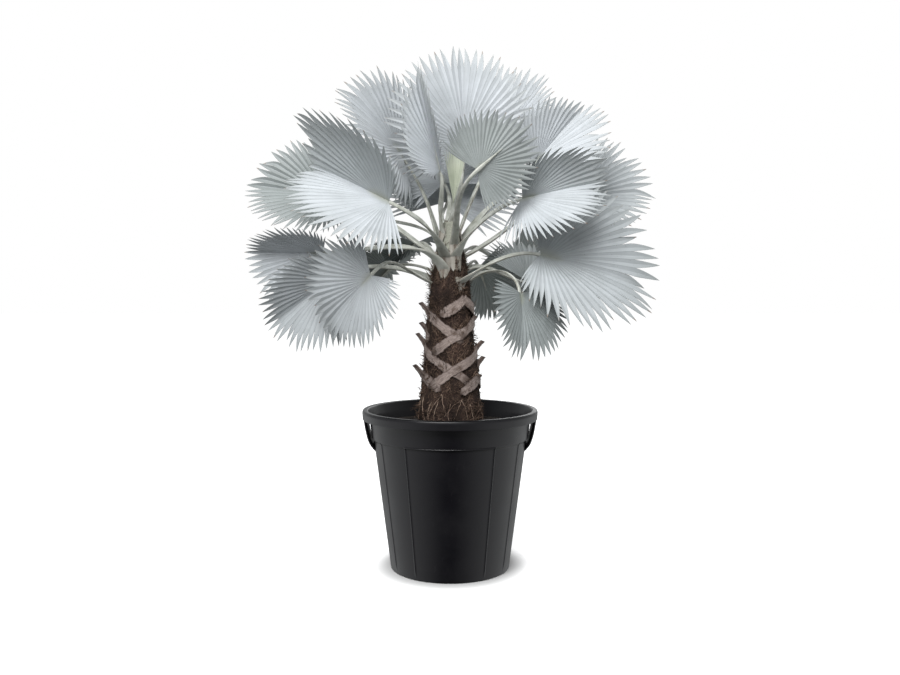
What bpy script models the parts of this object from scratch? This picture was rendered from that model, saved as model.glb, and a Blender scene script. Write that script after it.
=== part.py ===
"""A young Bismarck palm in a round nursery container with two moulded strap handles.

Metres, +Z up. The origin is the centre of the container's flat underside, and the
plant is seen from -Y, with +X to the right. Each frond is one solid: its petiole
and its folded, pleated, segmented fan blade.
"""

import bmesh
import bpy
import numpy as np

# Container
RIM_RADIUS = 0.280
POT_HEIGHT = 0.500
BASE_RADIUS = 0.190
LEDGE_HEIGHT = 0.409
LEDGE_RADIUS = 0.2490
BODY_TOP_RADIUS = 0.2425
NECK_TOP_RADIUS = 0.2560
LIP_HEIGHT = 0.030
LIP_WIDTH = 0.018
WALL = 0.004
BASE_THICKNESS = 0.0055
RIB_ANGLES = (33, 60, 120, 147)
RIB_WIDTH = 0.006
RIB_PROUD = 0.0025
HANDLE_HALF_WIDTH = 0.045
DRAIN_HOLES = 6
DRAIN_RADIUS = 0.007
DRAIN_CIRCLE = 0.135
ROUND_STEPS = 40

# Soil and trunk
SEAT = 0.0004
SOIL_HEIGHT = 0.450
FOOT_RADIUS = 0.0972
FOOT_DEPTH = 0.335
CORE_STEPS = 18
CROWN_BOTTOM = 0.900
CROWN_TOP = 1.100
CROWN_RADIUS = 0.060
SPEAR_RADIUS = 0.020
BOOT_WIDTH = 0.029
BOOT_SPAN = 134
BOOT_DROP = 0.118
# Azimuth and height of each leaf base, length of its stub, and how far round its two legs run
LEAF_BASES = (
    (188, 0.814, 0.056, 0.86, 1.0), (180, 0.705, 0.066, 1.0, 1.0), (196, 0.612, 0.062, 0.42, 0.75),
    (172, 0.756, 0.050, 0.30, 0.8), (84, 0.836, 0.050, 0.8, 0.8), (96, 0.742, 0.050, 0.8, 0.8),
    (86, 0.650, 0.052, 0.6, 0.6), (-6, 0.790, 0.036, 0.90, 0.94), (0, 0.694, 0.054, 1.0, 1.0),
    (6, 0.640, 0.056, 0.35, 0.12), (-18, 0.604, 0.036, 0.45, 0.40), (-52, 0.850, 0.012, 0.68, 0.46),
)
TUFTS = 26

# Fronds
SHEET = 0.0013
PLEAT_SLOPE = 0.34
BLADE_RINGS = (0.33, 0.63)
PETIOLE_WIDTH = 0.016
PETIOLE_DEPTH = 0.011
PETIOLE_BASE_WIDTH = 0.036
YOUNG_BASE_WIDTH = 0.028
PETIOLE_BASE_DEPTH = 0.013

# Heights and radii at which the petioles of each turn of the leaf spiral leave the crown
TURNS = {
    1: (0.905, 0.058), 2: (0.945, 0.050), 3: (0.985, 0.042),
    4: (1.025, 0.034), 5: (1.060, 0.027), 6: (1.088, 0.006),
}


def clear_scene():
    for thing in list(bpy.data.objects):
        bpy.data.objects.remove(thing, do_unlink=True)


def material(name, colour, roughness):
    made = bpy.data.materials.new(name)
    made.use_nodes = True
    shader = made.node_tree.nodes["Principled BSDF"]
    shader.inputs["Base Color"].default_value = (*colour, 1.0)
    shader.inputs["Roughness"].default_value = roughness
    shader.inputs["Metallic"].default_value = 0.0
    return made


def add_object(name, points, faces, collection=None):
    mesh = bpy.data.meshes.new(name)
    mesh.from_pydata([tuple(p) for p in points], [], [tuple(f) for f in faces])
    mesh.update()
    made = bpy.data.objects.new(name, mesh)
    (collection or bpy.context.scene.collection).objects.link(made)
    return made


def hide(helper):
    helper.hide_render = True
    helper.display_type = "WIRE"
    return helper


def apply_modifiers(thing):
    graph = bpy.context.evaluated_depsgraph_get()
    mesh = bpy.data.meshes.new_from_object(thing.evaluated_get(graph))
    thing.modifiers.clear()
    thing.data = mesh


def boolean(thing, operation, other=None, collection=None, solver="EXACT"):
    cut = thing.modifiers.new(operation.lower(), "BOOLEAN")
    cut.operation = operation
    cut.solver = solver
    if collection:
        cut.operand_type = "COLLECTION"
        cut.collection = collection
    else:
        cut.object = other
    apply_modifiers(thing)


def outward(thing):
    """Turns every face of a closed mesh to point out of it."""
    fix = bmesh.new()
    fix.from_mesh(thing.data)
    bmesh.ops.recalc_face_normals(fix, faces=fix.faces)
    fix.to_mesh(thing.data)
    fix.free()
    return thing


def remove_all(collection):
    for helper in list(collection.objects):
        bpy.data.objects.remove(helper, do_unlink=True)


def turned(name, profile, steps, collection=None):
    """A solid turned about Z from (radius, height) pairs that start and end on the axis."""
    shape = bmesh.new()
    chain = [shape.verts.new((r, 0.0, z)) for r, z in profile]
    edges = [shape.edges.new(pair) for pair in zip(chain, chain[1:])]
    bmesh.ops.spin(
        shape, geom=chain + edges, cent=(0, 0, 0), axis=(0, 0, 1),
        angle=2 * np.pi, steps=steps, use_merge=True,
    )
    bmesh.ops.remove_doubles(shape, verts=shape.verts, dist=1e-5)
    bmesh.ops.recalc_face_normals(shape, faces=shape.faces)
    mesh = bpy.data.meshes.new(name)
    shape.to_mesh(mesh)
    shape.free()
    made = bpy.data.objects.new(name, mesh)
    (collection or bpy.context.scene.collection).objects.link(made)
    return made


def prism(name, outline, place, collection):
    """A closed prism: place(side, point) puts each outline point on the near and far side."""
    n = len(outline)
    points = [place(side, p) for side in (-1, 1) for p in outline]
    faces = [tuple(range(n))[::-1], tuple(range(n, 2 * n))]
    faces += [(k, (k + 1) % n, n + (k + 1) % n, n + k) for k in range(n)]
    return outward(add_object(name, points, faces, collection))


def smooth(thing, degrees):
    thing.data.shade_smooth()
    thing.data.set_sharp_from_angle(angle=np.radians(degrees))


def body_radius(z):
    """Outer radius of the tapered body below the ledge."""
    return np.interp(z, [0.0, LEDGE_HEIGHT - 0.004], [BASE_RADIUS, BODY_TOP_RADIUS])


def inner_radius(z):
    """Radius of the container's inside at a height."""
    heights = [0.0, LEDGE_HEIGHT, POT_HEIGHT - LIP_HEIGHT, POT_HEIGHT]
    radii = [BASE_RADIUS - WALL, BODY_TOP_RADIUS - WALL, NECK_TOP_RADIUS - WALL, RIM_RADIUS - LIP_WIDTH]
    return np.interp(z, heights, radii)


def build_pot():
    lip_bottom = POT_HEIGHT - LIP_HEIGHT
    outside = [
        (0.0, 0.0), (BASE_RADIUS - 0.010, 0.0), (BASE_RADIUS - 0.002, 0.003), (body_radius(0.011), 0.011),
        (BODY_TOP_RADIUS, LEDGE_HEIGHT - 0.004), (LEDGE_RADIUS, LEDGE_HEIGHT + 0.003),
        (NECK_TOP_RADIUS, lip_bottom), (RIM_RADIUS - 0.002, lip_bottom), (RIM_RADIUS, POT_HEIGHT - 0.008),
        (RIM_RADIUS - 0.005, POT_HEIGHT), (RIM_RADIUS - LIP_WIDTH, POT_HEIGHT), (0.0, POT_HEIGHT),
    ]
    inside = [
        (0.0, BASE_THICKNESS), (inner_radius(BASE_THICKNESS) - 0.003, BASE_THICKNESS),
        (inner_radius(0.012), 0.012), (inner_radius(LEDGE_HEIGHT), LEDGE_HEIGHT),
        (inner_radius(lip_bottom), lip_bottom), (inner_radius(POT_HEIGHT) - 0.0015, POT_HEIGHT - 0.004),
        (inner_radius(POT_HEIGHT) + 0.003, POT_HEIGHT + 0.002), (0.0, POT_HEIGHT + 0.002),
    ]
    pot = turned("pot", outside, ROUND_STEPS)
    extras = bpy.data.collections.new("pot_extras")
    bpy.context.scene.collection.children.link(extras)
    extras.hide_render = True
    for angle in RIB_ANGLES + tuple(-a for a in RIB_ANGLES):
        turn = np.radians(angle - 90)
        out = np.array([np.cos(turn), np.sin(turn), 0.0])
        across = np.array([-np.sin(turn), np.cos(turn), 0.0])
        low, high = 0.014, LEDGE_HEIGHT + 0.001
        outline = [
            (body_radius(low) - 0.0015, low), (body_radius(low) + RIB_PROUD * 0.4, low),
            (body_radius(low) + RIB_PROUD, low + 0.012), (body_radius(high) + RIB_PROUD, high),
            (body_radius(high) - 0.0015, high),
        ]
        prism("rib", outline, lambda s, p: out * p[0] + across * s * RIB_WIDTH / 2 + (0, 0, p[1]), extras)
    strap = [
        (0.2745, lip_bottom + 0.004), (0.2715, 0.440), (0.2670, 0.411), (0.2575, 0.386), (0.2290, 0.366),
        (0.2290, 0.380), (0.2520, 0.396), (0.2595, 0.413), (0.2640, 0.440), (0.2670, lip_bottom + 0.004),
    ]
    for side in (-1, 1):
        prism("strap", strap, lambda s, p: (side * p[0], s * HANDLE_HALF_WIDTH, p[1]), extras)
    boolean(pot, "UNION", collection=extras)
    remove_all(extras)
    turned("cavity", inside, ROUND_STEPS, extras)
    for k in range(DRAIN_HOLES):
        turn = 2 * np.pi * (k + 0.5) / DRAIN_HOLES
        bore = [(0.0, -0.01), (DRAIN_RADIUS, -0.01), (DRAIN_RADIUS, 0.02), (0.0, 0.02)]
        hole = turned("drain", bore, 10, extras)
        hole.location = (DRAIN_CIRCLE * np.cos(turn), DRAIN_CIRCLE * np.sin(turn), 0.0)
    bpy.context.view_layer.update()
    boolean(pot, "DIFFERENCE", collection=extras)
    remove_all(extras)
    smooth(pot, 28)
    pot.data.materials.clear()
    pot.data.materials.append(material("black_plastic", (0.018, 0.018, 0.020), 0.42))


def ring(radius, height, steps):
    turn = 2 * np.pi * np.arange(steps) / steps
    radius = np.broadcast_to(radius, steps)
    height = np.broadcast_to(height, steps)
    return np.stack([radius * np.cos(turn), radius * np.sin(turn), height], axis=-1)


def stacked_rings(rings):
    """Points and faces of a closed solid through rings listed from one end cap to the other."""
    steps = len(rings[0])
    points = np.concatenate(list(rings) + [rings[0].mean(axis=0)[None], rings[-1].mean(axis=0)[None]])
    first, last = len(points) - 2, len(points) - 1
    faces = []
    for j in range(steps):
        k = (j + 1) % steps
        faces.append((first, k, j))
        for i in range(len(rings) - 1):
            faces.append((i * steps + j, i * steps + k, (i + 1) * steps + k, (i + 1) * steps + j))
        faces.append((last, (len(rings) - 1) * steps + j, (len(rings) - 1) * steps + k))
    return points, faces


def build_soil():
    """Fills the container to a rough, slightly mounded top, with a plain hole for the trunk's foot."""
    uneven = np.random.default_rng(7)
    low = BASE_THICKNESS + SEAT
    hole = FOOT_RADIUS + 0.0006
    rings = [
        ring(inner_radius(low) - 0.0036, low, ROUND_STEPS),
        ring(inner_radius(0.012) - SEAT, 0.012, ROUND_STEPS),
        ring(inner_radius(LEDGE_HEIGHT) - SEAT, LEDGE_HEIGHT, ROUND_STEPS),
        ring(inner_radius(SOIL_HEIGHT) - SEAT - 0.0012, SOIL_HEIGHT, ROUND_STEPS),
    ]
    for radius, lift, rough in ((0.205, 0.001, 0.004), (0.150, 0.003, 0.004), (hole, 0.006, 0.001)):
        heights = SOIL_HEIGHT + lift + rough * uneven.uniform(-1, 1, ROUND_STEPS)
        rings.append(ring(radius, heights, ROUND_STEPS))
    rings.append(ring(hole, FOOT_DEPTH, ROUND_STEPS))
    soil = add_object("soil", *stacked_rings(rings))
    soil.data.materials.append(material("potting_soil", (0.030, 0.019, 0.013), 0.95))


def core_radius(z):
    """Radius of the trunk's fibrous core."""
    heights = [SOIL_HEIGHT + 0.008, 0.475, 0.530, 0.600, 0.700, 0.800, CROWN_BOTTOM, CROWN_TOP]
    radii = [FOOT_RADIUS, 0.100, 0.094, 0.084, 0.074, 0.066, CROWN_RADIUS, SPEAR_RADIUS]
    return np.interp(z, heights, radii)


def core_profile(grow, low):
    heights = [low, SOIL_HEIGHT + 0.008, 0.475, 0.530, 0.600, 0.700, 0.800, CROWN_BOTTOM, CROWN_TOP]
    rims = [(float(core_radius(z)) + grow, z) for z in heights]
    rims[-1] = (SPEAR_RADIUS + grow, CROWN_TOP + grow)
    return [(0.0, low)] + rims + [(0.0, CROWN_TOP + grow)]


def on_trunk(azimuth, z, lift):
    r = core_radius(z) + lift
    return np.array([r * np.cos(azimuth), r * np.sin(azimuth), z])


def boot_leg(azimuth, z, side, lift, share, collection):
    """One half of a split leaf base: a strap that runs down and around the trunk, as far as its share."""
    stations = 2 + round(3 * share)
    rings = []
    for t in np.linspace(0, share, stations):
        a = azimuth + side * np.radians(BOOT_SPAN) * t
        height = z - BOOT_DROP * (0.86 * t + 0.14 * t * t)
        half = BOOT_WIDTH / 2 * (1 - 0.2 * t)
        proud = 0.0088 + lift - 0.0035 * t
        tilt = 0.58
        across = side * half * tilt / core_radius(height)
        upper = (a + across, height + half * 0.82)
        lower = (a - across, height - half * 0.82)
        corners = ((upper, -0.006), (upper, proud * 0.75), (lower, proud), (lower, -0.006))
        rings.append([on_trunk(*place, height_off) for place, height_off in corners])
    points = np.array(rings).reshape(-1, 3)
    faces = [(0, 1, 2, 3), tuple(4 * (stations - 1) + k for k in (3, 2, 1, 0))]
    for i in range(stations - 1):
        for k in range(4):
            a, b = 4 * i + k, 4 * i + (k + 1) % 4
            faces.append((a, a + 4, b + 4, b))
    outward(add_object("boot_leg", points, faces, collection))


def horn(azimuth, z, length, collection):
    """The cut stub of a petiole, rising steeply along the trunk between its two legs and bowed outwards."""
    out = np.array([np.cos(azimuth), np.sin(azimuth), 0.0])
    side = np.array([-np.sin(azimuth), np.cos(azimuth), 0.0])
    up = np.array([0.0, 0.0, 1.0])
    along = unit(0.34 * out + 0.94 * up)
    face = unit(0.94 * out - 0.34 * up)
    root = out * (core_radius(z) - 0.012) + up * (z - 0.026)
    points = []
    sections = ((0.0, BOOT_WIDTH, 0.022), (length * 0.5, 0.027, 0.019), (length, 0.021, 0.015))
    for far, wide, deep in sections:
        centre = root + along * far + out * 0.30 * far * far / length
        corners = ((-1, -1), (1, -1), (1, 1), (-1, 1))
        points += [centre + side * s * wide / 2 + face * f * deep / 2 for s, f in corners]
    faces = [(3, 2, 1, 0), (8, 9, 10, 11)]
    for i in range(2):
        for k in range(4):
            a, b = 4 * i + k, 4 * i + (k + 1) % 4
            faces.append((a, b, b + 4, a + 4))
    outward(add_object("horn", points, faces, collection))


def tuft(azimuth, z, length, lean, collection):
    """A stiff pointed bundle of fibre that stands off the mat."""
    root = on_trunk(azimuth, z, -0.004)
    out = np.array([np.cos(azimuth), np.sin(azimuth), lean])
    side = np.array([-np.sin(azimuth), np.cos(azimuth), 0.0])
    tip = root + out * (length + 0.004) + side * 0.3 * length * np.sin(37 * azimuth)
    turn = np.radians([90, 210, 330])
    base = [root + 0.004 * (np.cos(a) * side + np.sin(a) * np.array([0, 0, 1.0])) for a in turn]
    outward(add_object("tuft", base + [tip], [(0, 1, 2), (0, 3, 1), (1, 3, 2), (2, 3, 0)], collection))


def build_trunk():
    trunk = turned("trunk", core_profile(0.0, FOOT_DEPTH + SEAT), CORE_STEPS)
    extras = bpy.data.collections.new("trunk_extras")
    bpy.context.scene.collection.children.link(extras)
    extras.hide_render = True
    for order, (azimuth, z, length, left, right) in enumerate(LEAF_BASES):
        turn = np.radians(azimuth)
        lift = 0.0003 * order + 0.0016 * (order > 6)
        horn(turn, z, length, extras)
        boot_leg(turn, z, 1, lift, left, extras)
        boot_leg(turn, z, -1, lift + 0.0006, right, extras)
    scatter = np.random.default_rng(11)
    for k in range(TUFTS):
        azimuth = 2 * np.pi * (k * 0.382 + 0.02 * scatter.uniform())
        z = 0.475 + 0.375 * (k + scatter.uniform()) / TUFTS
        tuft(azimuth, z, scatter.uniform(0.018, 0.030), scatter.uniform(-0.3, 0.9), extras)
    boolean(trunk, "UNION", collection=extras)
    remove_all(extras)
    trunk.data.materials.clear()
    trunk.data.materials.append(material("trunk_fibre", (0.085, 0.052, 0.036), 0.92))


def unit(v):
    return np.asarray(v, float) / np.linalg.norm(v)


def blade_axes(heading, rise, roll):
    """Unit vectors along the midrib, across the blade and up from its upper face, from degrees."""
    a, e, r = np.radians([heading, rise, roll])
    along = np.array([np.cos(e) * np.cos(a), np.cos(e) * np.sin(a), np.sin(e)])
    level = np.array([-np.sin(a), np.cos(a), 0.0])
    normal = np.cross(along, level) * np.cos(r) + level * np.sin(r)
    return np.stack([along, np.cross(normal, along), normal])


def side_value(angle, pair):
    return np.where(angle < 0, pair[0], pair[1])


def reach(angle, frond):
    """Length of the segment at an angle: longest at the lean angle, shorter towards the petiole."""
    lean = np.radians(frond["lean"])
    turn = angle - lean
    end = np.radians(side_value(turn, frond["spread"])) - np.sign(turn) * lean
    share = np.clip(np.abs(turn) / end, 0, 1)
    loss = side_value(turn, frond["shorten"]) * share ** side_value(turn, frond["ease"])
    return frond["length"] * (1 - loss)


def blade_points(share, angle, lift, frond):
    """Blade surface: a fan whose halves rise from the midrib at the fold angle and curl further up on
    the way out, its midrib curved down and its tips drooping."""
    r = share * reach(angle, frond)
    ahead, across = r * np.cos(angle), r * np.sin(angle)
    fold = np.radians(side_value(angle, frond["fold"]))
    curl = np.radians(side_value(angle, frond["curl"])) / frond["length"] + 1e-5
    out = np.abs(across)
    slope = fold + curl * out
    rise = (np.cos(fold) - np.cos(slope)) / curl + lift * np.cos(slope)
    rise -= frond["droop"] * frond["length"] * share**3
    spread = (np.sin(slope) - np.sin(fold)) / curl - lift * np.sin(slope) * np.minimum(1, out / 0.02)
    spread = np.sign(across) * spread
    curve = max(np.radians(frond["bend"]) / frond["length"], 1e-6)
    arc = curve * np.maximum(ahead, 0)
    along = np.where(ahead > 0, np.sin(arc) / curve + rise * np.sin(arc), ahead)
    up = np.where(ahead > 0, -(1 - np.cos(arc)) / curve + rise * np.cos(arc), rise)
    return np.stack([along, spread, up], axis=-1)


def petiole_rings(frond, axes):
    """Six-sided sections from just short of the hub down to the crown, along one smooth curve."""
    height, radius = TURNS[frond["turn"]]
    a, e = np.radians([frond["azimuth"], frond["leave"]])
    out = np.array([np.cos(a), np.sin(a), 0.0])
    up = np.array([0.0, 0.0, 1.0])
    root = out * radius + up * height
    start = out * np.cos(e) + up * np.sin(e)
    back = up * np.cos(e) - out * np.sin(e)
    hub = np.array(frond["hub"])
    span = np.linalg.norm(hub - root)
    p0, p1, p2, p3 = root - start * 0.03, root + start * span * 0.38, hub - axes[0] * span * 0.34, hub
    rings = []
    for t in (0.80, 0.58, 0.38, 0.22, 0.12, 0.0):
        centre = (1 - t) ** 3 * p0 + 3 * (1 - t) ** 2 * t * p1 + 3 * (1 - t) * t**2 * p2 + t**3 * p3
        way = unit((1 - t) ** 2 * (p1 - p0) + 2 * (1 - t) * t * (p2 - p1) + t**2 * (p3 - p2))
        face = unit((1 - t) ** 1.5 * back + (1 - (1 - t) ** 1.5) * axes[2])
        face = unit(face - way * (face @ way))
        base_width = frond.get("base_width", PETIOLE_BASE_WIDTH)
        stations = (0, 0.14, 0.40, 1)
        widths = (base_width, base_width * 0.8, PETIOLE_WIDTH * 1.25, PETIOLE_WIDTH)
        depths = (PETIOLE_BASE_DEPTH, PETIOLE_BASE_DEPTH, PETIOLE_DEPTH * 1.2, PETIOLE_DEPTH)
        wide = SECTION[:, :1] * np.interp(t, stations, widths) / 2
        deep = SECTION[:, 1:] * np.interp(t, stations, depths) / 2
        rings.append(centre + wide * np.cross(face, way) + deep * face)
    return rings


SECTION = np.array([(0, 1), (-0.87, 0.5), (-0.87, -0.5), (0, -1), (0.87, -0.5), (0.87, 0.5)])


def frond_mesh(frond):
    """One closed surface: two alike faces of pleated blade, cut into pointed segments, on a petiole."""
    n = frond["segments"]
    axes = blade_axes(*frond["aim"])
    edges = np.radians(np.linspace(-frond["spread"][0], frond["spread"][1], n + 1))
    middles = (edges[1:] + edges[:-1]) / 2
    half = (edges[1] - edges[0]) / 2
    angles = np.empty(2 * n + 1)
    angles[0::2], angles[1::2] = edges, middles
    ridge = np.where(np.arange(2 * n + 1) % 2 == 0, 1.0, -1.0)
    blocks = []
    for share in BLADE_RINGS:
        pleat = ridge * PLEAT_SLOPE / 2 * share * reach(angles, frond) * half
        for face in (1, -1):
            blocks.append(blade_points(np.full(2 * n + 1, share), angles, pleat + face * SHEET / 2, frond))
    for face in (1, -1):
        blocks.append(blade_points(np.ones(n), middles, np.full(n, -0.002 + face * SHEET / 2), frond))
    wide, deep = SECTION[:, 0] * PETIOLE_WIDTH / 2, SECTION[:, 1] * PETIOLE_DEPTH / 2
    collar = np.stack([np.zeros(6), wide, deep], axis=-1)
    local = np.concatenate(blocks + [collar])
    points = np.concatenate([np.array(frond["hub"]) + local @ axes] + petiole_rings(frond, axes))
    m = 2 * n + 1
    top1, low1, top2, low2, tip_top, tip_low, hub = 0, m, 2 * m, 3 * m, 4 * m, 4 * m + n, 4 * m + 2 * n
    faces = []
    for j in range(m - 1):
        faces += [(hub, top1 + j, top1 + j + 1), (hub + 3, low1 + j + 1, low1 + j)]
        faces += [(top1 + j, top2 + j, top2 + j + 1), (top1 + j, top2 + j + 1, top1 + j + 1)]
        faces += [(low1 + j, low2 + j + 1, low2 + j), (low1 + j, low1 + j + 1, low2 + j + 1)]
    for i in range(n):
        left, mid, right, above, below = 2 * i, 2 * i + 1, 2 * i + 2, tip_top + i, tip_low + i
        faces += [(top2 + left, above, top2 + mid), (top2 + mid, above, top2 + right)]
        faces += [(low2 + left, low2 + mid, below), (low2 + mid, low2 + right, below)]
        faces += [(top2 + left, low2 + left, below), (top2 + left, below, above)]
        faces += [(above, below, low2 + right), (above, low2 + right, top2 + right)]
    e = m - 1
    faces += [(top1, low1, low2), (top1, low2, top2)]
    faces += [(top1 + e, top2 + e, low2 + e), (top1 + e, low2 + e, low1 + e)]
    faces += [(hub, hub + 1, top1), (hub + 1, hub + 2, top1)]
    faces += [(top1, hub + 2, low1), (hub + 2, hub + 3, low1)]
    faces += [(hub, top1 + e, hub + 5), (hub + 5, top1 + e, hub + 4)]
    faces += [(top1 + e, low1 + e, hub + 4), (hub + 4, low1 + e, hub + 3)]
    previous = hub
    for q in range(6):
        current = hub + 6 * (q + 1)
        for k in range(6):
            after = (k + 1) % 6
            faces.append((previous + k, current + k, current + after))
            faces.append((previous + k, current + after, previous + after))
        previous = current
    faces += [(previous, previous + k + 2, previous + k + 1) for k in range(4)]
    return points, faces


def frond(name, turn, azimuth, leave, hub, aim, length, spread, shorten, ease, fold, bend, segments,
          droop=0.05, base_width=PETIOLE_BASE_WIDTH, curl=(0, 0), lean=0):
    """A frond seated on the crown; angles in degrees, pairs give the blade's left and right halves."""
    shape = {
        "turn": turn, "azimuth": azimuth, "leave": leave, "hub": hub, "aim": aim, "length": length,
        "spread": spread, "shorten": shorten, "ease": ease, "fold": fold, "bend": bend, "droop": droop,
        "segments": segments, "base_width": base_width, "curl": curl, "lean": lean,
    }
    made = add_object(name, *frond_mesh(shape))
    core = hide(turned("core", core_profile(SEAT, CROWN_BOTTOM - 0.2), CORE_STEPS))
    boolean(made, "DIFFERENCE", core)
    bpy.data.objects.remove(core, do_unlink=True)
    made.data.materials.clear()
    shade = (0.20 + 0.03 * turn, 0.25 + 0.03 * turn, 0.23 + 0.035 * turn)
    made.data.materials.append(material(name, shade, 0.55))


def build_fronds():
    """Old leaves leave the crown low and far out, young ones high and close to its axis."""
    # Lowest turn, hanging
    frond("frond_left_low", 1, 125, 20, (-0.36, -0.05, 0.92), (185, -35, 75), 0.28,
          spread=(95, 125), shorten=(0.60, 0.35), ease=(1.1, 1.3), fold=(48, 20), bend=10, segments=22)
    frond("frond_front_left_low", 1, 180, 20, (-0.23, -0.28, 0.923), (160, -45, 90), 0.25,
          spread=(125, 125), shorten=(0.50, 0.60), ease=(1.3, 1.3), fold=(10, 20), bend=20, segments=22)
    frond("frond_right_low", 1, 306, 25, (0.28, -0.11, 0.99), (-5, -15, -55), 0.38,
          spread=(110, 120), shorten=(0.65, 0.35), ease=(1.9, 1.7), fold=(15, 15), bend=10, segments=24)
    frond("frond_right_hanging", 1, 45, 30, (0.21, -0.21, 0.87), (-85, -60, 35), 0.21,
          spread=(90, 115), shorten=(0.40, 0.35), ease=(1.7, 1.8), fold=(15, 15), bend=15, segments=20)
    frond("frond_back_right_hanging", 1, 65, 20, (0.10, 0.25, 0.96), (55, -55, 25), 0.2,
          spread=(120, 120), shorten=(0.40, 0.40), ease=(1.3, 1.3), fold=(10, 15), bend=40, segments=16)
    frond("frond_back_left_hanging", 1, 95, 20, (-0.21, 0.20, 0.95), (145, -35, -5), 0.27,
          spread=(125, 125), shorten=(0.38, 0.38), ease=(1.3, 1.3), fold=(25, 15), bend=20, segments=18)
    # Second turn, level
    frond("frond_left", 2, 250, 55, (-0.41, 0.035, 1.00), (175, 0, 100), 0.28,
          spread=(105, 120), shorten=(0.65, 0.40), ease=(1.0, 1.0), fold=(52, 20), bend=10, segments=22)
    frond("frond_right_back", 2, 30, 55, (0.25, 0.06, 0.91), (35, 5, -25), 0.28,
          spread=(125, 125), shorten=(0.38, 0.38), ease=(1.3, 1.3), fold=(10, 20), bend=5, segments=22)
    frond("frond_back_left_small", 2, 130, 55, (-0.12, 0.21, 1.04), (125, -15, 5), 0.22,
          spread=(120, 120), shorten=(0.40, 0.40), ease=(1.3, 1.3), fold=(15, 10), bend=20, segments=16)
    # Third turn, rising a little
    frond("frond_front_left_upper", 3, 250, 50, (-0.18, -0.24, 1.14), (172, 28, 82), 0.41,
          spread=(95, 130), shorten=(0.85, 0.45), ease=(1.5, 0.6), fold=(36, 45), bend=45, curl=(66, 0),
          lean=-15, segments=24)
    frond("frond_front_right", 3, 292, 45, (0.22, -0.11, 1.16), (-20, 12, -88), 0.29,
          spread=(115, 75), shorten=(0.38, 0.65), ease=(1.2, 1.3), fold=(42, 15), bend=28, curl=(0, 90),
          lean=15, segments=22)
    frond("frond_right_upper", 3, 15, 25, (0.40, 0.22, 1.19), (-25, 5, -60), 0.3,
          spread=(120, 120), shorten=(0.35, 0.35), ease=(1.4, 1.4), fold=(18, 20), bend=12, segments=22)
    frond("frond_left_upper", 3, 180, 35, (-0.38, 0.04, 1.18), (180, 9, 72), 0.3,
          spread=(120, 120), shorten=(0.65, 0.55), ease=(1.2, 1.0), fold=(22, 30), bend=12, segments=22)
    frond("frond_back_left", 3, 100, 55, (-0.28, 0.34, 1.15), (140, 20, -45), 0.33,
          spread=(128, 128), shorten=(0.36, 0.36), ease=(1.3, 1.3), fold=(25, 10), bend=10, segments=18)
    frond("frond_back_right", 3, 60, 40, (0.23, 0.42, 0.95), (55, -10, 55), 0.34,
          spread=(128, 128), shorten=(0.36, 0.36), ease=(1.3, 1.3), fold=(10, 20), bend=10, segments=18)
    # Fourth turn, steep
    frond("frond_top_left", 4, 155, 75, (-0.16, 0.14, 1.33), (230, 40, 75), 0.32,
          spread=(90, 120), shorten=(0.45, 0.35), ease=(2.3, 1.5), fold=(20, 15), bend=15, segments=22)
    frond("frond_front_high", 4, 290, 60, (0.08, -0.26, 1.23), (25, 40, 90), 0.225,
          spread=(115, 120), shorten=(0.40, 0.45), ease=(0.8, 1.0), fold=(3, 3), bend=10, segments=22)
    frond("frond_right_high", 4, 30, 60, (0.271, 0.055, 1.287), (0, 50, -72), 0.3,
          spread=(112, 110), shorten=(0.62, 0.65), ease=(1.3, 1.0), fold=(20, 42), bend=10, lean=-12,
          segments=22)
    frond("frond_back_high_left", 4, 105, 65, (-0.02, 0.22, 1.25), (130, 50, 25), 0.3,
          spread=(125, 125), shorten=(0.38, 0.38), ease=(1.3, 1.3), fold=(20, 15), bend=15, segments=18)
    # Fifth turn, nearly upright
    frond("frond_top", 5, 70, 80, (0.045, 0.09, 1.36), (-100, 80, 165), 0.33,
          spread=(120, 125), shorten=(0.40, 0.35), ease=(1.1, 1.6), fold=(20, 15), bend=15, segments=24,
          base_width=YOUNG_BASE_WIDTH)
    frond("frond_top_front_left", 5, 210, 70, (-0.03, -0.10, 1.25), (160, 76, 92), 0.375,
          spread=(120, 120), shorten=(0.80, 0.87), ease=(0.8, 0.6), fold=(65, 65), bend=0, segments=22,
          base_width=YOUNG_BASE_WIDTH)
    frond("frond_top_right", 5, 5, 70, (0.17, 0.22, 1.38), (-15, 60, -75), 0.29,
          spread=(120, 125), shorten=(0.40, 0.35), ease=(0.8, 1.5), fold=(25, 15), bend=10, segments=22,
          base_width=YOUNG_BASE_WIDTH)
    frond("frond_back_high", 5, 125, 70, (-0.01, 0.28, 1.19), (65, 55, -20), 0.34,
          spread=(128, 128), shorten=(0.36, 0.36), ease=(1.3, 1.3), fold=(10, 10), bend=15, segments=18,
          base_width=YOUNG_BASE_WIDTH)
    # The newest leaf, still closed, at the very centre
    frond("young_leaf", 6, 110, 88, (0.01, -0.01, 1.13), (-70, 86, 180), 0.23,
          spread=(14, 14), shorten=(0.14, 0.20), ease=(1.5, 1.2), fold=(30, 25), bend=4, segments=8,
          base_width=0.018, droop=0.0)


clear_scene()
build_pot()
build_soil()
build_trunk()
build_fronds()
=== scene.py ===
"""A young Bismarck palm in its black nursery container, dressed over the CAD frame."""

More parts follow.
